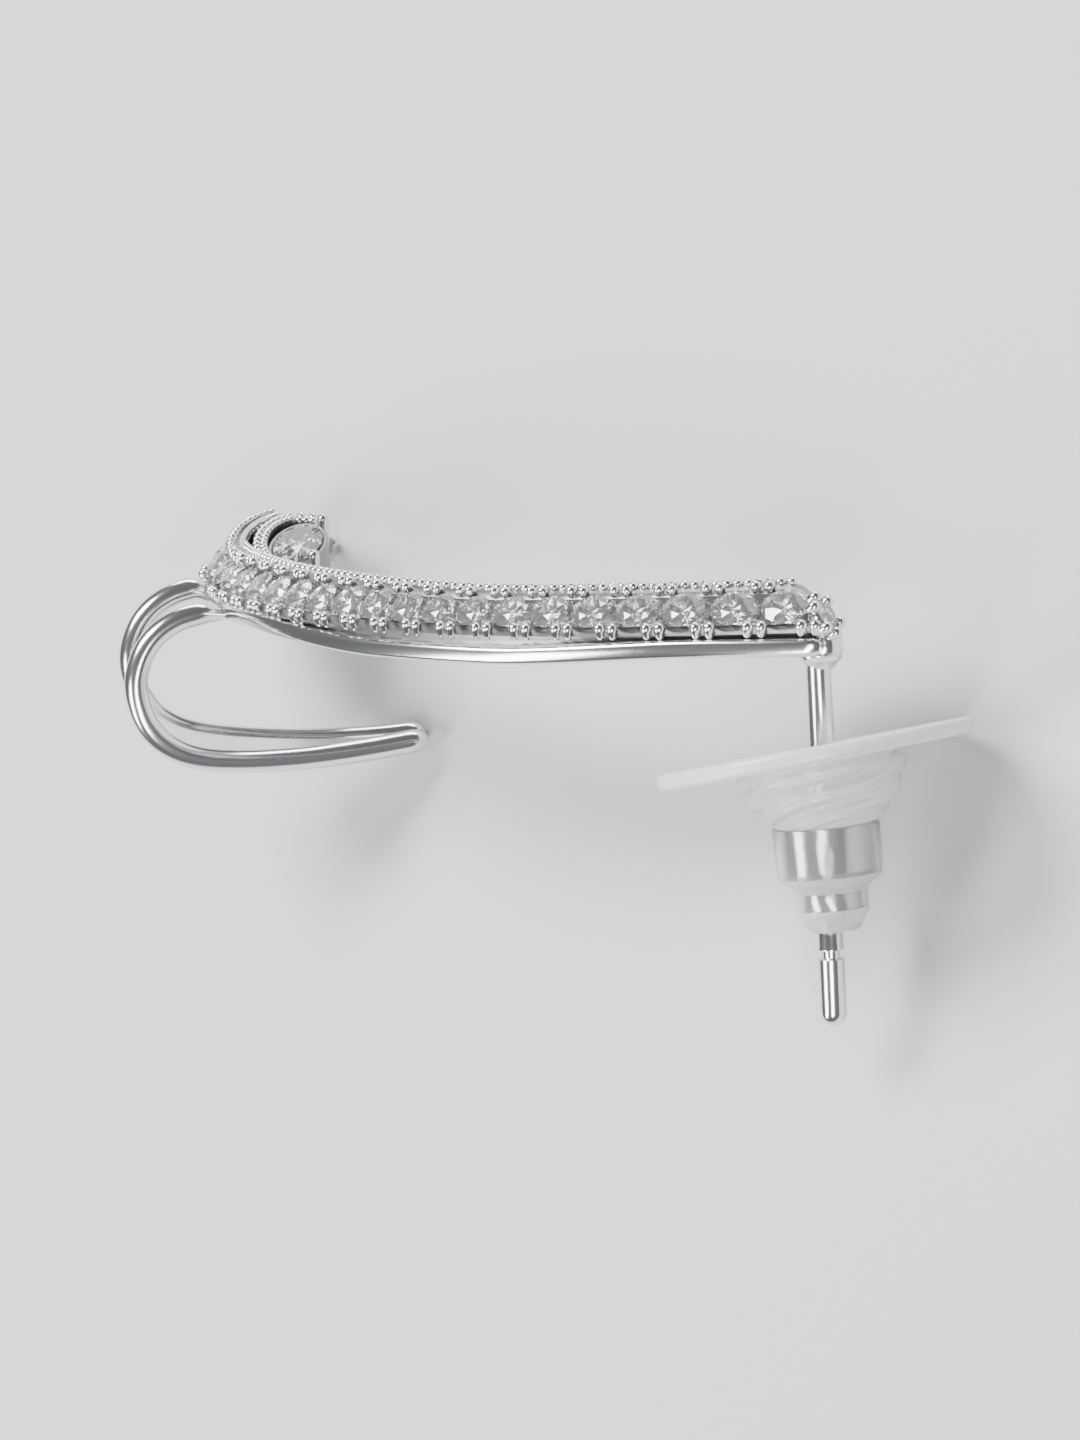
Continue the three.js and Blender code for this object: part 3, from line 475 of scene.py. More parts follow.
def joined(name, pieces):
    only(pieces[0])
    for piece in pieces:
        piece.select_set(True)
    bpy.ops.object.join()
    whole = bpy.context.object
    whole.name = name
    bpy.ops.object.transform_apply(location=True, rotation=True, scale=True)
    return whole


def standing(point, direction, scale=(1, 1, 1)):
    """The place of a copy whose Z points along a direction."""
    rotation = UP.rotation_difference(direction).to_matrix().to_4x4()
    return Matrix.Translation(point) @ rotation @ Matrix.Diagonal((*scale, 1))


def finish(piece, body, slot, material, *replaced, smooth_angle=40):
    """Settles a piece in the resting pose, gives it its material, ties it to its body and hides the
    CAD nodes it stands for; the slot is not used.
    """
    moved(piece, REST)
    if smooth_angle:
        bpy.ops.object.shade_smooth_by_angle(angle=math.radians(smooth_angle))
    piece.data.materials.clear()
    piece.data.materials.append(material)
    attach(piece, body)
    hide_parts(*replaced)


# Shader maths


class Socket:
    """A shader value that takes part in Python expressions."""

    def __init__(self, tree, output):
        self.tree, self.output = tree, output

    def maths(self, operation, a, b):
        return self.tree.add("ShaderNodeMath", {"operation": operation}, {0: a, 1: b})

    def __add__(self, other):
        return self.maths("ADD", self, other)

    def __mul__(self, other):
        return self.maths("MULTIPLY", self, other)

    __radd__ = __add__
    __rmul__ = __mul__


class Finish:
    """A material with its Principled shader and a way to add nodes."""

    def __init__(self, name, **constants):
        self.material = bpy.data.materials.new(name)
        self.material.use_nodes = True
        self.nodes = self.material.node_tree.nodes
        self.links = self.material.node_tree.links
        self.shader = self.nodes["Principled BSDF"]
        for socket, value in constants.items():
            self.shader.inputs[socket.replace("_", " ")].default_value = value

    def add(self, kind, settings, inputs, output=0):
        node = self.nodes.new(kind)
        for setting, value in settings.items():
            setattr(node, setting, value)
        for socket, value in inputs.items():
            if isinstance(value, Socket):
                self.links.new(value.output, node.inputs[socket])
            else:
                node.inputs[socket].default_value = value
        return Socket(self, node.outputs[output])

    def feed(self, socket, value):
        self.links.new(value.output, self.shader.inputs[socket])

    def place(self, scale=(1, 1, 1)):
        where = self.add("ShaderNodeTexCoord", {}, {}, "Object")
        return self.add("ShaderNodeMapping", {}, {"Vector": where, "Scale": scale})

    def noise(self, scale, detail=2.0, stretch=(1, 1, 1)):
        return self.add("ShaderNodeTexNoise", {}, {
            "Vector": self.place(stretch), "Scale": scale, "Detail": detail}, "Fac")

    def bump(self, height, distance, strength):
        self.feed("Normal", self.add("ShaderNodeBump", {}, {
            "Height": height, "Distance": distance, "Strength": strength}))


def polished_metal():
    look = Finish("mirror_polish", Base_Color=(0.75, 0.755, 0.765, 1), Metallic=1.0)
    haze = look.noise(240, 3.0)
    look.feed("Roughness", haze * 0.08 + 0.13)
    look.bump(look.noise(900, 3.0), 0.00001, 0.25)
    return look.material


def cast_metal(name, tone, dullness=0.08):
    look = Finish(name, Base_Color=(tone, tone * 1.005, tone * 1.015, 1), Metallic=1.0)
    look.feed("Roughness", look.noise(500, 2.0) * 0.12 + dullness)
    look.bump(look.noise(2600, 3.0), 0.00003, 0.4)
    return look.material


def clear_stone():
    look = Finish(
        "cut_stone", Base_Color=(0.98, 0.985, 1.0, 1), IOR=2.1, Transmission_Weight=0.95)
    look.feed("Roughness", look.noise(1500, 2.0) * 0.02)
    return look.material


def milky_silicone():
    look = Finish(
        "milky_silicone", Base_Color=(0.93, 0.94, 0.95, 1), Roughness=0.22, IOR=1.41,
        Transmission_Weight=0.46)
    look.bump(look.noise(420, 4.0, (1, 0.4, 2.0)), 0.00010, 0.5)
    return look.material


def cloudy_skin():
    look = Finish(
        "cloudy_skin", Base_Color=(0.88, 0.885, 0.89, 1), Roughness=0.25, IOR=1.41,
        Transmission_Weight=0.6)
    look.bump(look.noise(700, 3.0), 0.00006, 0.5)
    return look.material


def clear_skin():
    look = Finish(
        "jacket_skin", Base_Color=(0.96, 0.965, 0.97, 1), IOR=1.4, Transmission_Weight=0.9)
    look.feed("Roughness", look.noise(900, 3.0) * 0.15 + 0.07)
    return look.material


def sleeve_metal():
    look = Finish("drawn_sleeve", Base_Color=(0.5, 0.505, 0.515, 1), Metallic=1.0)
    look.feed("Roughness", look.noise(600, 3.0) * 0.14 + 0.1)
    look.bump(look.noise(700, 3.0), 0.00003, 0.4)
    return look.material


polish = polished_metal()
casting = cast_metal("cast_metal", 0.7)
# A dark copy of the cast metal: painted shade for the channel and the sunk parts of the head.
painted_shade_metal = cast_metal("painted_shade_recess", 0.25, 0.3)
bright_cut = cast_metal("bright_cut_metal", 0.92)
stone_look = clear_stone()
silicone = milky_silicone()
cloudy = cloudy_skin()
skin = clear_skin()
steel = sleeve_metal()

# Rail and channel of the band


def rail_ring(s, shrink=1.0):
    place = BandPlace(s)
    corner = RAIL_HEIGHT * RAIL_ROUNDING
    centre = rail_outer(place) - RAIL_WIDTH / 2
    ring = []
    for side, lift, start in ((1, -1, -90), (1, 1, 0), (-1, 1, 90), (-1, -1, 180)):
        for step in range(4):
            angle = math.radians(start + step * 30)
            out = side * (RAIL_WIDTH / 2 - corner) + corner * math.cos(angle)
            up = lift * (RAIL_HEIGHT / 2 - corner) + corner * math.sin(angle)
            ring.append(place.level(centre + out * shrink, RAIL_HEIGHT / 2 + up * shrink))
    return ring


def channel_ring(s):
    place = BandPlace(s)
    seat = place.size / 2 - LIP_UNDER_STONE
    share = end_share(s)
    lip = place.face(lip_reach(place.size) * share, -LIP_DEPTH)
    shelf = lip - place.out * SHELF_WIDTH
    inner = (shelf - place.point).dot(place.out)
    web = rail_outer(place) - RAIL_WIDTH / 2
    return [
        place.face(-lip_reach(place.size), -LIP_DEPTH),
        place.face(-seat, -LIP_DEPTH),
        place.face(0, -pit_depth(place.size)),
        place.face(seat * share, -LIP_DEPTH),
        lip,
        shelf,
        place.level(inner, RAIL_HEIGHT * 1.3),
        place.level(inner + RAIL_WIDTH * 0.4, RAIL_HEIGHT * 0.5),
        place.level(web, RAIL_HEIGHT * 0.4),
        place.level(web + RAIL_WIDTH * 0.08, RAIL_HEIGHT * 1.02),
    ]


def rounded_end(ring):
    """A last section, drawn in and on, that rounds off a cut end."""
    middle = sum(ring, Vector()) / len(ring)
    return [middle.lerp(point, END_SHRINK) + direction_at(BAND_END) * END_REACH
            for point in ring]


stations = [lerp(METAL_START, BAND_END, i / (BAND_STATIONS - 1)) for i in range(BAND_STATIONS)]
start_reach, start_share = RAIL_START
rail_rings = [rail_ring(METAL_START - start_reach, start_share)]
rail_rings += [rail_ring(s) for s in stations]
rail = lofted("base_rail", rail_rings + [rounded_end(rail_rings[-1])])
channel_rings = [channel_ring(s) for s in stations]
channel = lofted("stone_channel", channel_rings + [rounded_end(channel_rings[-1])])


def seat_ring(s):
    """The bright-cut lining of the channel, under the stones."""
    place = BandPlace(s)
    side = place.size / 2 - LIP_UNDER_STONE - SEAT_LINING
    depth = pit_depth(place.size)
    return [
        place.face(-side, -LIP_DEPTH + SEAT_LINING),
        place.face(0, -depth - SEAT_LINING * 3),
        place.face(side * end_share(s), -LIP_DEPTH + SEAT_LINING),
        place.face(0, -depth + SEAT_LINING),
    ]


seat = lofted("stone_seat", [seat_ring(s) for s in stations[2:-1]])

# Prongs in pairs between the stones, round at both ends


def stretched_down(piece, length, narrow):
    """Draws the lower half of a ball down into a short, slightly narrower root."""
    bpy.ops.object.mode_set(mode="EDIT")
    bpy.ops.mesh.select_all(action="DESELECT")
    mesh = bmesh.from_edit_mesh(piece.data)
    for vertex in mesh.verts:
        vertex.select = vertex.co.z < -0.001
    mesh.select_flush_mode()
    bmesh.update_edit_mesh(piece.data)
    bpy.ops.transform.translate(value=(0, 0, -length))
    bpy.ops.transform.resize(value=(narrow, narrow, 1), center_override=(0, 0, -length))
    bpy.ops.object.mode_set(mode="OBJECT")
    return piece


def prong_pattern(radius, length):
    bpy.ops.object.select_all(action="DESELECT")
    bpy.ops.mesh.primitive_uv_sphere_add(segments=14, ring_count=10, radius=radius)
    return stretched_down(bpy.context.object, length, 0.92)


def prong_places():
    places = []
    gaps = [s - size / 2 - STONE_GAP / 2 for s, size in stones]
    gaps.append(stones[-1][0] + stones[-1][1] / 2)
    for s in gaps:
        place = BandPlace(s)
        scale = lerp(1, place.size / FIRST_STONE, PRONG_GRADING)
        for side in (-1, 1):
            if side > 0 and s < METAL_START + END_LENGTH:
                continue
            direction = place.normal if side > 0 else (place.normal + place.up).normalized()
            for pair in (-1, 1):
                point = place.face(side * prong_reach(place.size), 0.02, pair * PRONG_PAIR * scale)
                places.append(standing(point, direction, scale=(scale, scale, 1)))
    return places


prongs = repeated(
    "stone_prongs", prong_pattern(PRONG_RADIUS * 1.15, PRONG_ROOT), prong_places())


def bead_pattern(radius):
    bpy.ops.object.select_all(action="DESELECT")
    bpy.ops.mesh.primitive_ico_sphere_add(subdivisions=3, radius=radius)
    return stretched_down(bpy.context.object, radius * 0.4, 0.9)


def shelf_bead_places():
    places = []
    s = METAL_START + END_LENGTH + 0.1
    while s < BAND_END:
        place = BandPlace(s)
        point = place.face(lip_reach(place.size), -LIP_DEPTH) - place.out * SHELF_WIDTH * 0.5
        places.append(Matrix.Translation(point + place.up * BEAD_RADIUS * 0.35))
        s += BEAD_SPACING
    return places


shelf_beads = repeated("edge_beads", bead_pattern(BEAD_RADIUS), shelf_bead_places())

# Setting of the end stone over the post

end_point = Vector((FOOT_OFFSET, 0, BAND_START.z)) + Vector(END_STONE_SHIFT)
end_normal = Vector(END_STONE_NORMAL).normalized()
end_sideways = end_normal.cross(UP).normalized()
end_upward = end_sideways.cross(end_normal)


def end_setting():
    radius = END_STONE / 2
    depth = pit_depth(END_STONE)
    cup = turned("end_cup", [
        (radius * 0.45, -depth - 0.12), (radius * 0.97, -0.38), (radius + 0.09, -0.2),
        (radius + 0.09, -0.1), (radius + SEAT_CLEARANCE, -0.06), (0.05, -depth),
    ], 40)
    moved(cup, standing(end_point, end_normal))
    places = []
    for angle in END_PRONG_ANGLES:
        reach = radius + SEAT_CLEARANCE + PRONG_RADIUS * 0.75
        turn = math.radians(angle)
        point = (end_point + end_sideways * reach * math.cos(turn)
                 + end_upward * reach * math.sin(turn))
        places.append(standing(point, end_normal))
    heads = repeated("end_prongs", prong_pattern(PRONG_RADIUS * 1.1, END_PRONG_ROOT), places)
    return joined("end_setting", [cup, heads])


end_cup = end_setting()

# Head of the band

quarter = BandPlace(CURL_AT + CURL_RADIUS * (math.pi / 2 - heading_at(CURL_AT)))
head_tilt = math.radians(CURL_TILT)
head_across = Vector((0, math.cos(head_tilt), math.sin(head_tilt)))
head_up = Vector((0, -math.sin(head_tilt), math.cos(head_tilt)))
head_centre = quarter.point + Vector((CURL_RADIUS, 0, 0)) + head_up * HEAD_LEVEL
HEAD = Matrix.Translation(head_centre) @ Matrix((
    (1, 0, 0), (0, head_across.y, head_up.y), (0, head_across.z, head_up.z))).to_4x4()


def ring_points(ring, start, end, count, grow=0.0):
    points = []
    for i in range(count):
        angle = math.radians(lerp(start, end, i / (count - 1)))
        points.append((
            ring["along"] + (ring["long"] + grow) * math.cos(angle),
            ring["across"] + (ring["wide"] + grow) * math.sin(angle), angle))
    return points


def ring_wall(name, ring, span, half, top):
    foot = -HEAD_FLOOR - FLOOR_THICKNESS / 2
    rings = []
    for along, across, angle in ring_points(ring, *span, RING_STATIONS):
        side = Vector((math.cos(angle), math.sin(angle), 0)) * half
        centre = Vector((along, across, 0))
        rings.append([
            centre + side + UP * top, centre + side + UP * foot,
            centre - side + UP * foot, centre - side + UP * top])
    return lofted(name, rings)


def head_pieces():
    wire_line = [Vector((x, y, 0))
                 for x, y, _ in ring_points(WIRE_RING, *WIRE_SPAN, 60, -WIRE_INSET)]
    wire = tube("head_wire", wire_line, [WIRE_RADIUS * 0.65] * len(wire_line))
    walls = [
        ring_wall("wire_wall", WIRE_RING, WIRE_SPAN, WIRE_RADIUS * 1.6, -0.09),
        ring_wall("rope_wall", ROPE_RING, ROPE_SPAN, ROPE_BEAD * 1.9, -ROPE_BEAD * 0.5),
    ]
    places = []
    for grow in (-ROPE_BEAD * 0.92, ROPE_BEAD * 0.92):
        line = ring_points(ROPE_RING, ROPE_SPAN[0] + 4, ROPE_SPAN[1] - 4, ROPE_BEAD_COUNT, grow)
        places += [Matrix.Translation((x, y, 0)) for x, y, _ in line]
    rope = repeated("rope_beads", bead_pattern(ROPE_BEAD * 1.05), places)
    brow = repeated("brow_beads", bead_pattern(BEAD_RADIUS * 0.8), [
        Matrix.Translation((x, y, -0.02)) for x, y, _ in ring_points(
            WIRE_RING, WIRE_SPAN[0] + 2, BROW_END, BROW_BEADS, WIRE_RADIUS + BEAD_RADIUS * 0.6)])
    floor = turned("head_floor", [
        (1, -HEAD_FLOOR - FLOOR_THICKNESS), (1, -HEAD_FLOOR - 0.05), (0.97, -HEAD_FLOOR)], 64)
    moved(floor, Matrix.Translation((FLOOR_OVAL["along"], FLOOR_OVAL["across"], 0))
          @ Matrix.Diagonal((FLOOR_OVAL["long"], FLOOR_OVAL["wide"], 1, 1)))
    seat = 1 + 2 * SEAT_CLEARANCE / HEAD_STONE_WIDTH
    depth = pit_depth(HEAD_STONE_WIDTH)
    collar = turned("head_collar", [
        (seat + 0.16, -HEAD_FLOOR - 0.2), (seat + 0.16, -0.16), (seat + 0.12, -0.1),
        (seat, -0.1), (0.1, -0.07 - depth)], 56)
    moved(collar, Matrix.Translation((ROPE_RING["along"], ROPE_RING["across"], 0))
          @ Matrix.Rotation(math.radians(HEAD_STONE_TURN), 4, "Z")
          @ Matrix.Diagonal((HEAD_STONE_WIDTH / 2, HEAD_STONE_LENGTH / 2, 1, 1)))
    claws = []
    reach = 1 + 2 * (SEAT_CLEARANCE + CLAW_RADIUS * 1.05) / HEAD_STONE_WIDTH
    for angle in CLAW_ANGLES:
        spot = Vector((reach * HEAD_STONE_WIDTH * math.cos(math.radians(angle)) / 2,
                       reach * HEAD_STONE_LENGTH * math.sin(math.radians(angle)) / 2, 0))
        spot.rotate(Matrix.Rotation(math.radians(HEAD_STONE_TURN), 3, "Z"))
        claws.append(Matrix.Translation(
            spot + Vector((ROPE_RING["along"], ROPE_RING["across"], 0.1))))
    claw_set = repeated("head_claws", prong_pattern(CLAW_RADIUS, HEAD_FLOOR), claws)
    raised = joined("curl_head", [wire, rope, brow, claw_set])
    # The walls, floor and collar are kept apart from the raised parts so that they can carry
    # painted shade.
    sunk = joined("head_setting", [*walls, floor, collar])
    return moved(raised, HEAD), moved(sunk, HEAD)


head, head_setting = head_pieces()

# Hook: the band's two rails bent round, with a hollowed web between them


def catmull(points, count):
    """Points spread evenly along a smooth line through the given ones."""
    dense = []
    ends = [points[0] * 2 - points[1], *points, points[-1] * 2 - points[-2]]
    for i in range(1, len(ends) - 2):
        a, b, c, d = ends[i - 1:i + 3]
        for step in range(24):
            t = step / 24
            dense.append(0.5 * (
                2 * b + (c - a) * t + (2 * a - 5 * b + 4 * c - d) * t * t
                + (3 * b - 3 * c + d - a) * t ** 3))
    dense.append(points[-1].copy())
    lengths = [0.0]
    for a, b in zip(dense, dense[1:]):
        lengths.append(lengths[-1] + (b - a).length)
    even, i = [], 0
    for k in range(count):
        target = lengths[-1] * k / (count - 1)
        while i < len(lengths) - 2 and lengths[i + 1] < target:
            i += 1
        share = (target - lengths[i]) / max(1e-9, lengths[i + 1] - lengths[i])
        even.append(dense[i].lerp(dense[i + 1], clamp(share)))
    return even


def hook():
    heading = BandPlace(HOOK_HEADING_AT)
    root = BandPlace(HOOK_AT)
    origin = root.point + root.out * HOOK_OUT + UP * RAIL_HEIGHT * 0.4
    inward = -Vector((heading.out.x, heading.out.y, 0)).normalized()
    along = Vector((heading.along.x, heading.along.y, 0)).normalized()
    count = HOOK_STATIONS
    near = catmull([
        origin + inward * out * (HOOK_REACH if out < 0 else HOOK_ARM) - UP * down * HOOK_DROP
        for out, down in HOOK_COURSE], count)
    away = math.radians(SPREAD_HEADING)
    shift = (Vector((-math.cos(away), math.sin(away), 0)) * STRAND_SPREAD + UP * STRAND_STEP)
    shares = [i / (count - 1) for i in range(count)]
    spread = [lerp(1, TIP_SPREAD, smooth(u, 0.5, 1) * 0.55 + max(0, (u - 0.5) / 0.5) * 0.45)
              for u in shares]
    far = [p + shift * k - UP * ROOT_DROP * (1 - smooth(u, 0, 0.07))
           for p, k, u in zip(near, spread, shares)]
    near.insert(0, near[0] + inward * HOOK_ROOT)
    far.insert(0, far[0] + inward * HOOK_ROOT)
    shares.insert(0, 0.0)
    count += 1
    tip = [max(0.3, math.sqrt(max(0.0, 1 - clamp((u - TIP_START) / TIP_LENGTH) ** 2)))
           for u in shares]
    root_growth = [lerp(ROOT_SHARE, 1, smooth(i, 0, ROOT_STATIONS)) for i in range(count)]
    radii = [STRAND_RADIUS * end * start for end, start in zip(tip, root_growth)]
    strands = [tube("near_strand", near, radii, 10), tube("far_strand", far, radii, 10)]
    first = round(WEB_START * count)
    rings = []
    for i in range(first, count):
        tangent = (near[min(i + 1, count - 1)] - near[max(i - 1, 0)]).normalized()
        side = along.cross(tangent).normalized()
        half = WEB_THICKNESS / 2 * tip[i]
        inner, outer = [], []
        for step in range(WEB_STEPS + 1):
            share = step / WEB_STEPS
            centre = near[i].lerp(far[i], share)
            hollow = WEB_HOLLOW * math.sin(math.pi * share) * tip[i]
            inner.append(centre + side * (half - hollow))
            outer.append(centre - side * half)
        rings.append(inner + outer[::-1])
    return joined("rim_hook", strands + [lofted("hook_web", rings)])


rim_hook = hook()

# Post and its foot


def post_pieces():
    ridge, lower = POST_RADIUS * 1.06, POST_RADIUS * 1.05
    quarter_turn = [math.radians(angle) for angle in range(0, 90, 15)]
    rounded = [(lower * math.cos(angle), -POST_LENGTH + lower * (1 - math.sin(angle)))
               for angle in quarter_turn]
    pin = turned("post_pin", [
        (POST_RADIUS, BAND_START.z + 0.5), (POST_RADIUS, -NOTCH_AT + NOTCH_HALF * 2),
        (ridge, -NOTCH_AT + NOTCH_HALF * 1.6), (ridge, -NOTCH_AT + NOTCH_HALF * 1.3),
        (NOTCH_RADIUS, -NOTCH_AT + NOTCH_HALF * 0.9), (NOTCH_RADIUS, -NOTCH_AT - NOTCH_HALF * 0.9),
        (ridge, -NOTCH_AT - NOTCH_HALF * 1.3), (ridge, -NOTCH_AT - NOTCH_HALF * 1.6),
        (lower, -NOTCH_AT - NOTCH_HALF * 2.4), *rounded, (0.04, -POST_LENGTH)], 48)
    block = turned("post_block", [
        (FOOT_RADIUS * 1.05, BAND_START.z), (FOOT_RADIUS * 1.1, BAND_START.z + 0.08),
        (FOOT_RADIUS * 1.02, BAND_START.z + 0.3), (FOOT_RADIUS, BAND_START.z + 0.4),
        (FOOT_RADIUS * 0.92, BAND_START.z + 0.75), (FOOT_RADIUS * 0.84, BAND_START.z + 0.82)], 40)
    moved(block, Matrix.Translation((FOOT_OFFSET, 0, 0)))
    flare = turned("post_flare", [
        (POST_RADIUS + 0.01, -0.24), (POST_RADIUS + 0.06, -0.16), (FOOT_RADIUS + 0.04, 0.0),
        (FOOT_RADIUS + 0.1, 0.06), (FOOT_RADIUS + 0.12, BAND_START.z),
        (FOOT_RADIUS, BAND_START.z + 0.1)], 40)
    moved(flare, Matrix.Translation((FOOT_OFFSET / 2, 0, 0)))
    return joined("post", [pin, block, flare])


post = post_pieces()

# Ear back


def lean_matrix(lean, point):
    front, side = lean
    return (Matrix.Translation(point) @ Matrix.Rotation(math.radians(-side), 4, "Y")
            @ Matrix.Rotation(math.radians(-front), 4, "X"))


BODY = lean_matrix(BODY_LEAN, Vector((0, 0, -COLLAR_END)))


def outline_at(outline, share):
    place = share * (len(outline) - 1)
    k = min(int(place), len(outline) - 2)
    return tuple(lerp(a, b, place - k) for a, b in zip(outline[k], outline[k + 1]))


def fold_at(angle, height, share):
    """The film of the collar is twisted: its creases climb round it, and wander."""
    wander = 0.7 * math.sin(angle + 0.6) + 0.45 * math.sin(3 * angle + 2 * height)
    phase = 2 * math.pi * height / FOLD_RISE - FOLD_TURNS * angle + wander
    crease = math.sin(phase) + 0.4 * math.sin(2 * phase + 0.5) + 0.18 * math.sin(3 * phase)
    return FOLD_DEPTH * crease * smooth(share, 0.06, 0.25) * (1 - smooth(share, 0.85, 1))


def pad():
    half = PAD_THICKNESS / 2
    disc = turned("pad_disc", [
        (BORE_RADIUS, half), (PAD_RADIUS * 0.6, half), (PAD_RADIUS - 0.1, half),
        (PAD_RADIUS - 0.03, half * 0.8), (PAD_RADIUS, half * 0.4), (PAD_RADIUS, -half * 0.4),
        (PAD_RADIUS - 0.03, -half * 0.8), (PAD_RADIUS - 0.1, -half),
        (BORE_RADIUS, -half)], 96, True)
    moved(disc, lean_matrix(PAD_LEAN, PAD_CENTRE))
    top = lean_matrix(COLLAR_LEAN, PAD_CENTRE + Vector((-PAD_CENTRE.x * 0.5, 0, -half * 0.5)))
    sections = []
    for i in range(COLLAR_RINGS):
        share = i / (COLLAR_RINGS - 1)
        radius, height = outline_at(COLLAR_OUTLINE, share)
        ring = []
        for j in range(COLLAR_SIDES):
            angle = 2 * math.pi * j / COLLAR_SIDES
            spot = radius * COLLAR_RADIUS + fold_at(angle, height, share)
            upper = top @ Vector((spot * math.cos(angle), spot * math.sin(angle), height))
            lower = BODY @ Vector((
                spot * math.cos(angle), spot * math.sin(angle), COLLAR_HEIGHT + height - FIT_GAP))
            ring.append(upper.lerp(lower, smooth(share, 0.2, 1)))
        sections.append(ring)
    return joined("soft_pad", [disc, lofted("pad_collar", sections)])


soft_pad = pad()


JACKET_RADIUS = SLEEVE_RADIUS + FIT_GAP + JACKET_SKIN
JACKET_FOOT = JACKET_RADIUS * JACKET_TAPER
JACKET_NECK = NECK_RADIUS + FIT_GAP + JACKET_SKIN
NECK_FOOT = JACKET_NECK * NECK_TAPER
SHOULDER = -SLEEVE_LENGTH
SHOULDER_TOP = SHOULDER + 0.02
SHOULDER_END = SHOULDER - SHOULDER_HEIGHT
NECK_END = -SLEEVE_LENGTH - NECK_LENGTH
NOSE_TOP = NECK_END + 0.13
NOSE_END = NECK_END - NOSE_LENGTH


def jacket_skin():
    """The thin clear wall over the sleeve and over its neck."""
    wall = turned("jacket_wall", [
        (JACKET_RADIUS - JACKET_SKIN, -FIT_GAP), (JACKET_RADIUS - 0.02, -FIT_GAP),
        (JACKET_RADIUS, -FIT_GAP - 0.05), (JACKET_RADIUS * 0.985, SHOULDER + 0.3),
        (JACKET_FOOT, SHOULDER_TOP), (JACKET_FOOT - JACKET_SKIN, SHOULDER_TOP),
        (JACKET_RADIUS - JACKET_SKIN, -FIT_GAP - 0.06)], JACKET_SIDES, True)
    neck = turned("jacket_neck", [
        (JACKET_NECK, SHOULDER_END), (NECK_FOOT, NOSE_TOP), (NECK_FOOT - JACKET_SKIN, NOSE_TOP),
        (JACKET_NECK - JACKET_SKIN, SHOULDER_END)], JACKET_SIDES, True)
    return moved(joined("clear_jacket", [wall, neck]), BODY)


def jacket_ends():
    """The cloudy shoulder and the nose, where the wall is thick."""
    shoulder = turned("jacket_shoulder", [
        (JACKET_FOOT - JACKET_SKIN, SHOULDER_TOP), (JACKET_FOOT, SHOULDER_TOP),
        (JACKET_RADIUS * 0.94, SHOULDER - 0.1), (JACKET_RADIUS * 0.86, SHOULDER - 0.22),
        (JACKET_NECK + 0.1, SHOULDER - 0.36), (JACKET_NECK + 0.01, SHOULDER - 0.48),
        (JACKET_NECK, SHOULDER_END), (JACKET_NECK - JACKET_SKIN, SHOULDER_END),
        (JACKET_NECK - JACKET_SKIN + 0.03, SHOULDER - 0.4),
        (JACKET_RADIUS * 0.9 - JACKET_SKIN, SHOULDER - 0.06)], JACKET_SIDES, True)
    nose = turned("jacket_nose", [
        (NECK_FOOT - JACKET_SKIN, NOSE_TOP), (NECK_FOOT, NOSE_TOP),
        (JACKET_NECK * 0.97, NECK_END + 0.02), (JACKET_NECK * 0.9, NECK_END - 0.12),
        (BORE_RADIUS * 1.7, NOSE_END + 0.1), (BORE_RADIUS * 1.5, NOSE_END),
        (BORE_RADIUS, NOSE_END), (BORE_RADIUS, NECK_END + 0.08)], JACKET_SIDES, True)
    return moved(joined("cloudy_jacket", [shoulder, nose]), BODY)


clear_jacket = jacket_skin()
cloudy_jacket = jacket_ends()


def sleeve():
    foot = SLEEVE_RADIUS * 0.97
    bottom = NECK_END + 0.14
    piece = turned("metal_sleeve", [
        (SLEEVE_RADIUS - SLEEVE_WALL, -FIT_GAP), (SLEEVE_RADIUS, -FIT_GAP),
        (foot, SHOULDER + 0.16), (foot - 0.06, SHOULDER + 0.06),
        (NECK_RADIUS + 0.08, SHOULDER - 0.26), (NECK_RADIUS, SHOULDER - 0.36),
        (NECK_RADIUS, bottom), (BORE_RADIUS, bottom),
        (BORE_RADIUS, bottom + SLEEVE_WALL), (NECK_RADIUS - SLEEVE_WALL, bottom + SLEEVE_WALL),
        (NECK_RADIUS - SLEEVE_WALL, SHOULDER - 0.3), (foot - SLEEVE_WALL, SHOULDER + 0.1),
    ], JACKET_SIDES, True)
    return moved(piece, BODY)


metal_sleeve = sleeve()

# Stones, cut with a table, star and kite facets, a girdle and a pavilion


def brilliant(name):
    """A stone one millimetre wide: its corners in rings, wrapped in flat facets."""
    bpy.ops.object.select_all(action="DESELECT")
    middle = (1 + TABLE_SHARE) / 2 + KITE_SPREAD
    bpy.ops.mesh.primitive_circle_add(
        vertices=8, radius=TABLE_SHARE / 2, location=(0, 0, CROWN_SHARE), fill_type="NOTHING")
    piece = bpy.context.object
    piece.name = name
    bpy.ops.object.transform_apply(location=True)
    bpy.ops.object.mode_set(mode="EDIT")
    for corners, radius, height, turn in (
            (8, middle / 2, CROWN_SHARE * KITE_HEIGHT, math.pi / 8),
            (16, 0.5, GIRDLE_SHARE / 2, 0), (16, 0.5, -GIRDLE_SHARE / 2, 0),
            (8, *LOWER_FACETS, math.pi / 8)):
        bpy.ops.mesh.primitive_circle_add(
            vertices=corners, radius=radius, location=(0, 0, height), rotation=(0, 0, turn),
            fill_type="NOTHING")
    bpy.ops.mesh.primitive_circle_add(
        vertices=3, radius=CULET_RADIUS, location=(0, 0, -PAVILION_SHARE), fill_type="NOTHING")
    bpy.ops.mesh.select_all(action="SELECT")
    bpy.ops.mesh.convex_hull()
    bpy.ops.mesh.select_all(action="SELECT")
    bpy.ops.mesh.normals_make_consistent(inside=False)
    bpy.ops.object.mode_set(mode="OBJECT")
    return piece


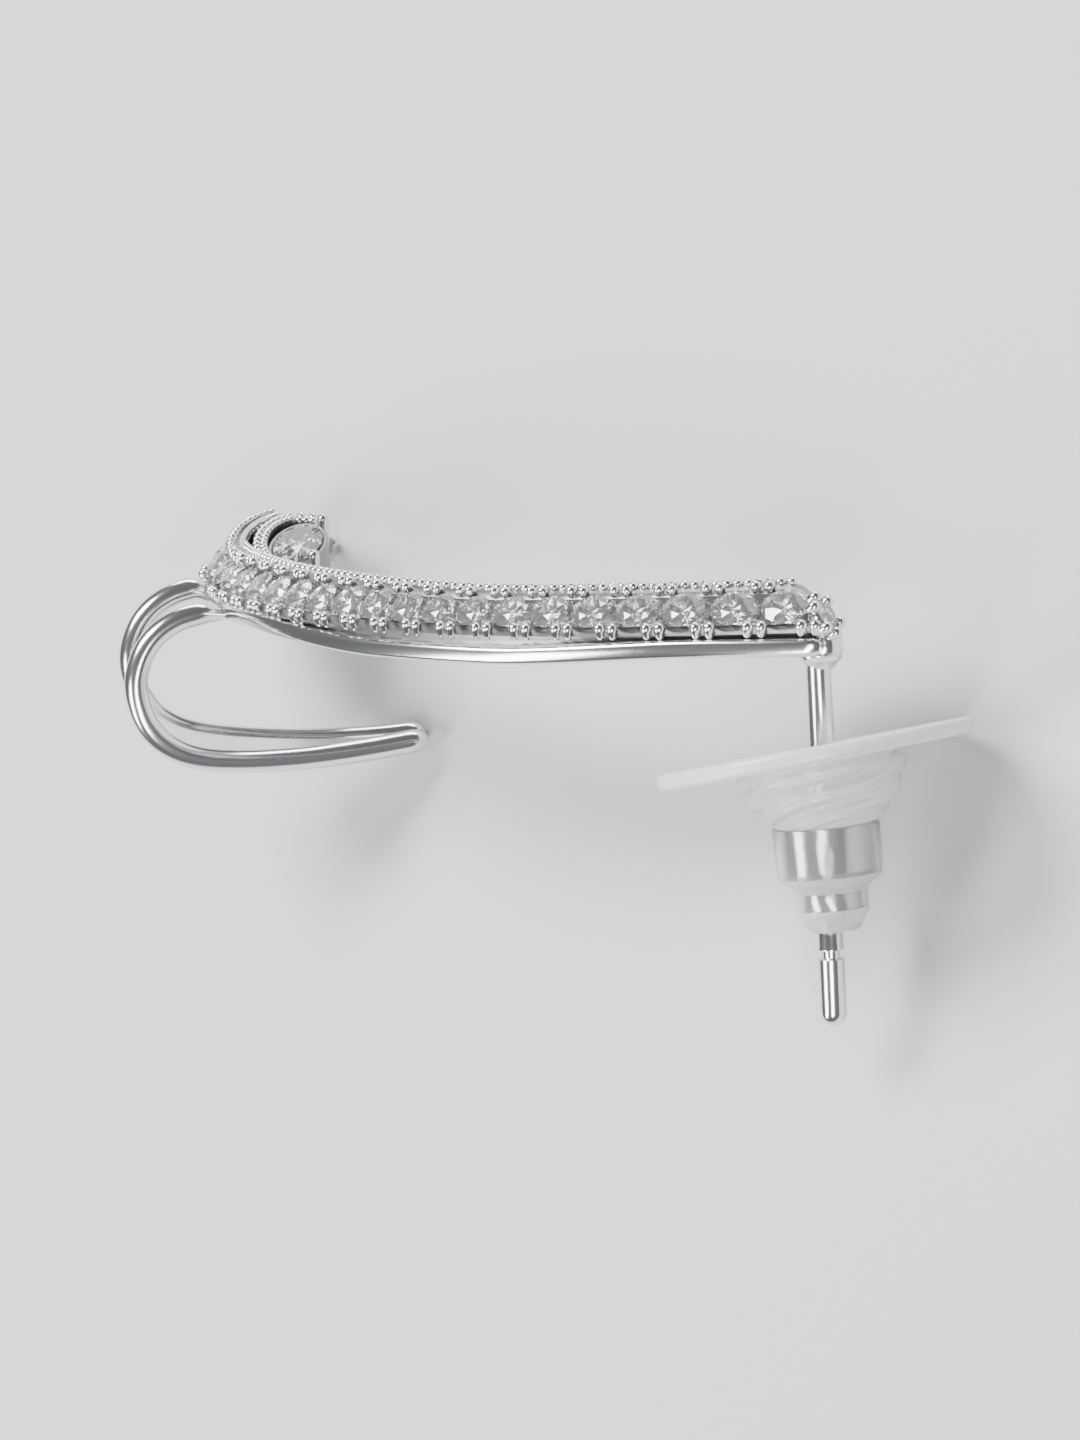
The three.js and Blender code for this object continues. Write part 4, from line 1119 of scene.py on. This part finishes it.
def stone_places():
    places = []
    for s, size in stones:
        place = BandPlace(s)
        across = place.normal.cross(place.along)
        axes = Matrix((place.along, across, place.normal)).transposed()
        places.append(Matrix.Translation(place.face(0)) @ axes.to_4x4() @ Matrix.Scale(size, 4))
    return places


band_gems = repeated("band_gems", brilliant("band_gem"), stone_places())
end_gem = moved(brilliant("end_gem"), standing(end_point, end_normal) @ Matrix.Scale(END_STONE, 4))
oval_gem = moved(
    brilliant("oval_gem"),
    HEAD @ Matrix.Translation((ROPE_RING["along"], ROPE_RING["across"], -0.05))
    @ Matrix.Rotation(math.radians(HEAD_STONE_TURN), 4, "Z")
    @ Matrix.Diagonal((HEAD_STONE_WIDTH, HEAD_STONE_LENGTH, HEAD_STONE_WIDTH, 1)))

# Finishes, bodies and the CAD nodes that the pieces stand for

for piece in (rail, rim_hook, post):
    finish(piece, "climber", "polished_metal", polish, "climber_frame")
for piece in (prongs, shelf_beads, end_cup, head):
    finish(piece, "climber", "polished_metal", casting, "climber_frame")
# Painted shade: the channel and the head's walls, floor and collar take the dark copy of the cast
# metal.
for piece in (channel, head_setting):
    finish(piece, "climber", "polished_metal", painted_shade_metal, "climber_frame")
finish(seat, "climber", "polished_metal", bright_cut, "climber_frame")
band_nodes = sorted(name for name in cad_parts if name.startswith("band_stone"))
finish(band_gems, "climber", "clear_stone", stone_look, *band_nodes, smooth_angle=0)
finish(end_gem, "climber", "clear_stone", stone_look, "end_stone", smooth_angle=0)
finish(oval_gem, "climber", "clear_stone", stone_look, "oval_stone", smooth_angle=0)
finish(soft_pad, "ear_back", "soft_clear", silicone, "clutch_pad")
finish(clear_jacket, "ear_back", "clear_skin", skin, "clutch_jacket")
finish(cloudy_jacket, "ear_back", "clear_skin", cloudy, "clutch_jacket")
finish(metal_sleeve, "ear_back", "sleeve_metal", steel, "clutch_sleeve")

# Floor, light and camera


def studio():
    bpy.ops.object.select_all(action="DESELECT")
    bpy.ops.mesh.primitive_plane_add(size=FLOOR_SIZE)
    floor = bpy.context.object
    floor.name = "studio_floor"
    paint = Finish("studio_paint", Base_Color=FLOOR_TONE, Roughness=0.75)
    floor.data.materials.append(paint.material)
    world = bpy.data.worlds.new("studio_air")
    bpy.context.scene.world = world
    world.use_nodes = True
    background = world.node_tree.nodes["Background"]
    background.inputs["Color"].default_value = AIR_TONE
    background.inputs["Strength"].default_value = AIR_STRENGTH


def worn_direction(x, y, z):
    return (rest_turn.to_3x3() @ Vector((x, y, z))).normalized()


def softbox(name, direction, distance, size, power):
    light = bpy.data.lights.new(name, "AREA")
    light.shape = "RECTANGLE"
    light.size, light.size_y = size
    light.energy = power
    lamp = bpy.data.objects.new(name, light)
    bpy.context.scene.collection.objects.link(lamp)
    target = REST @ Vector(LIGHT_TARGET)
    lamp.location = target + worn_direction(*direction) * distance
    lamp.rotation_euler = worn_direction(*direction).to_track_quat("Z", "Y").to_euler()


def camera():
    rise, roll = math.radians(VIEW_RISE), math.radians(VIEW_ROLL)
    right = Vector((1, 0, 0))
    back = Vector((0, -math.cos(rise), math.sin(rise)))
    upward = Vector((0, math.sin(rise), math.cos(rise)))
    wide = (ORIGIN_PIXEL[0] - FRAME_PIXELS[0] / 2) / PIXELS_PER_MM
    tall = (FRAME_PIXELS[1] / 2 - ORIGIN_PIXEL[1]) / PIXELS_PER_MM
    x = wide * math.cos(roll) + tall * math.sin(roll)
    y = -wide * math.sin(roll) + tall * math.cos(roll)
    target = -x * right - y * upward
    axes = (right * math.cos(roll) - upward * math.sin(roll),
            right * math.sin(roll) + upward * math.cos(roll), back)
    turn = rest_turn.to_3x3() @ Matrix(axes).transposed()
    data = bpy.data.cameras.new("photo_camera")
    data.sensor_fit = "HORIZONTAL"
    data.sensor_width = SENSOR_WIDTH
    data.lens = SENSOR_WIDTH * VIEW_DISTANCE * PIXELS_PER_MM / FRAME_PIXELS[0]
    data.clip_start = 0.001
    eye = bpy.data.objects.new("photo_camera", data)
    bpy.context.scene.collection.objects.link(eye)
    eye.matrix_world = Matrix.Translation(REST @ (target + back * VIEW_DISTANCE)) @ turn.to_4x4()
    bpy.context.scene.camera = eye


studio()
for lamp in SOFTBOXES:
    softbox(*lamp)
camera()
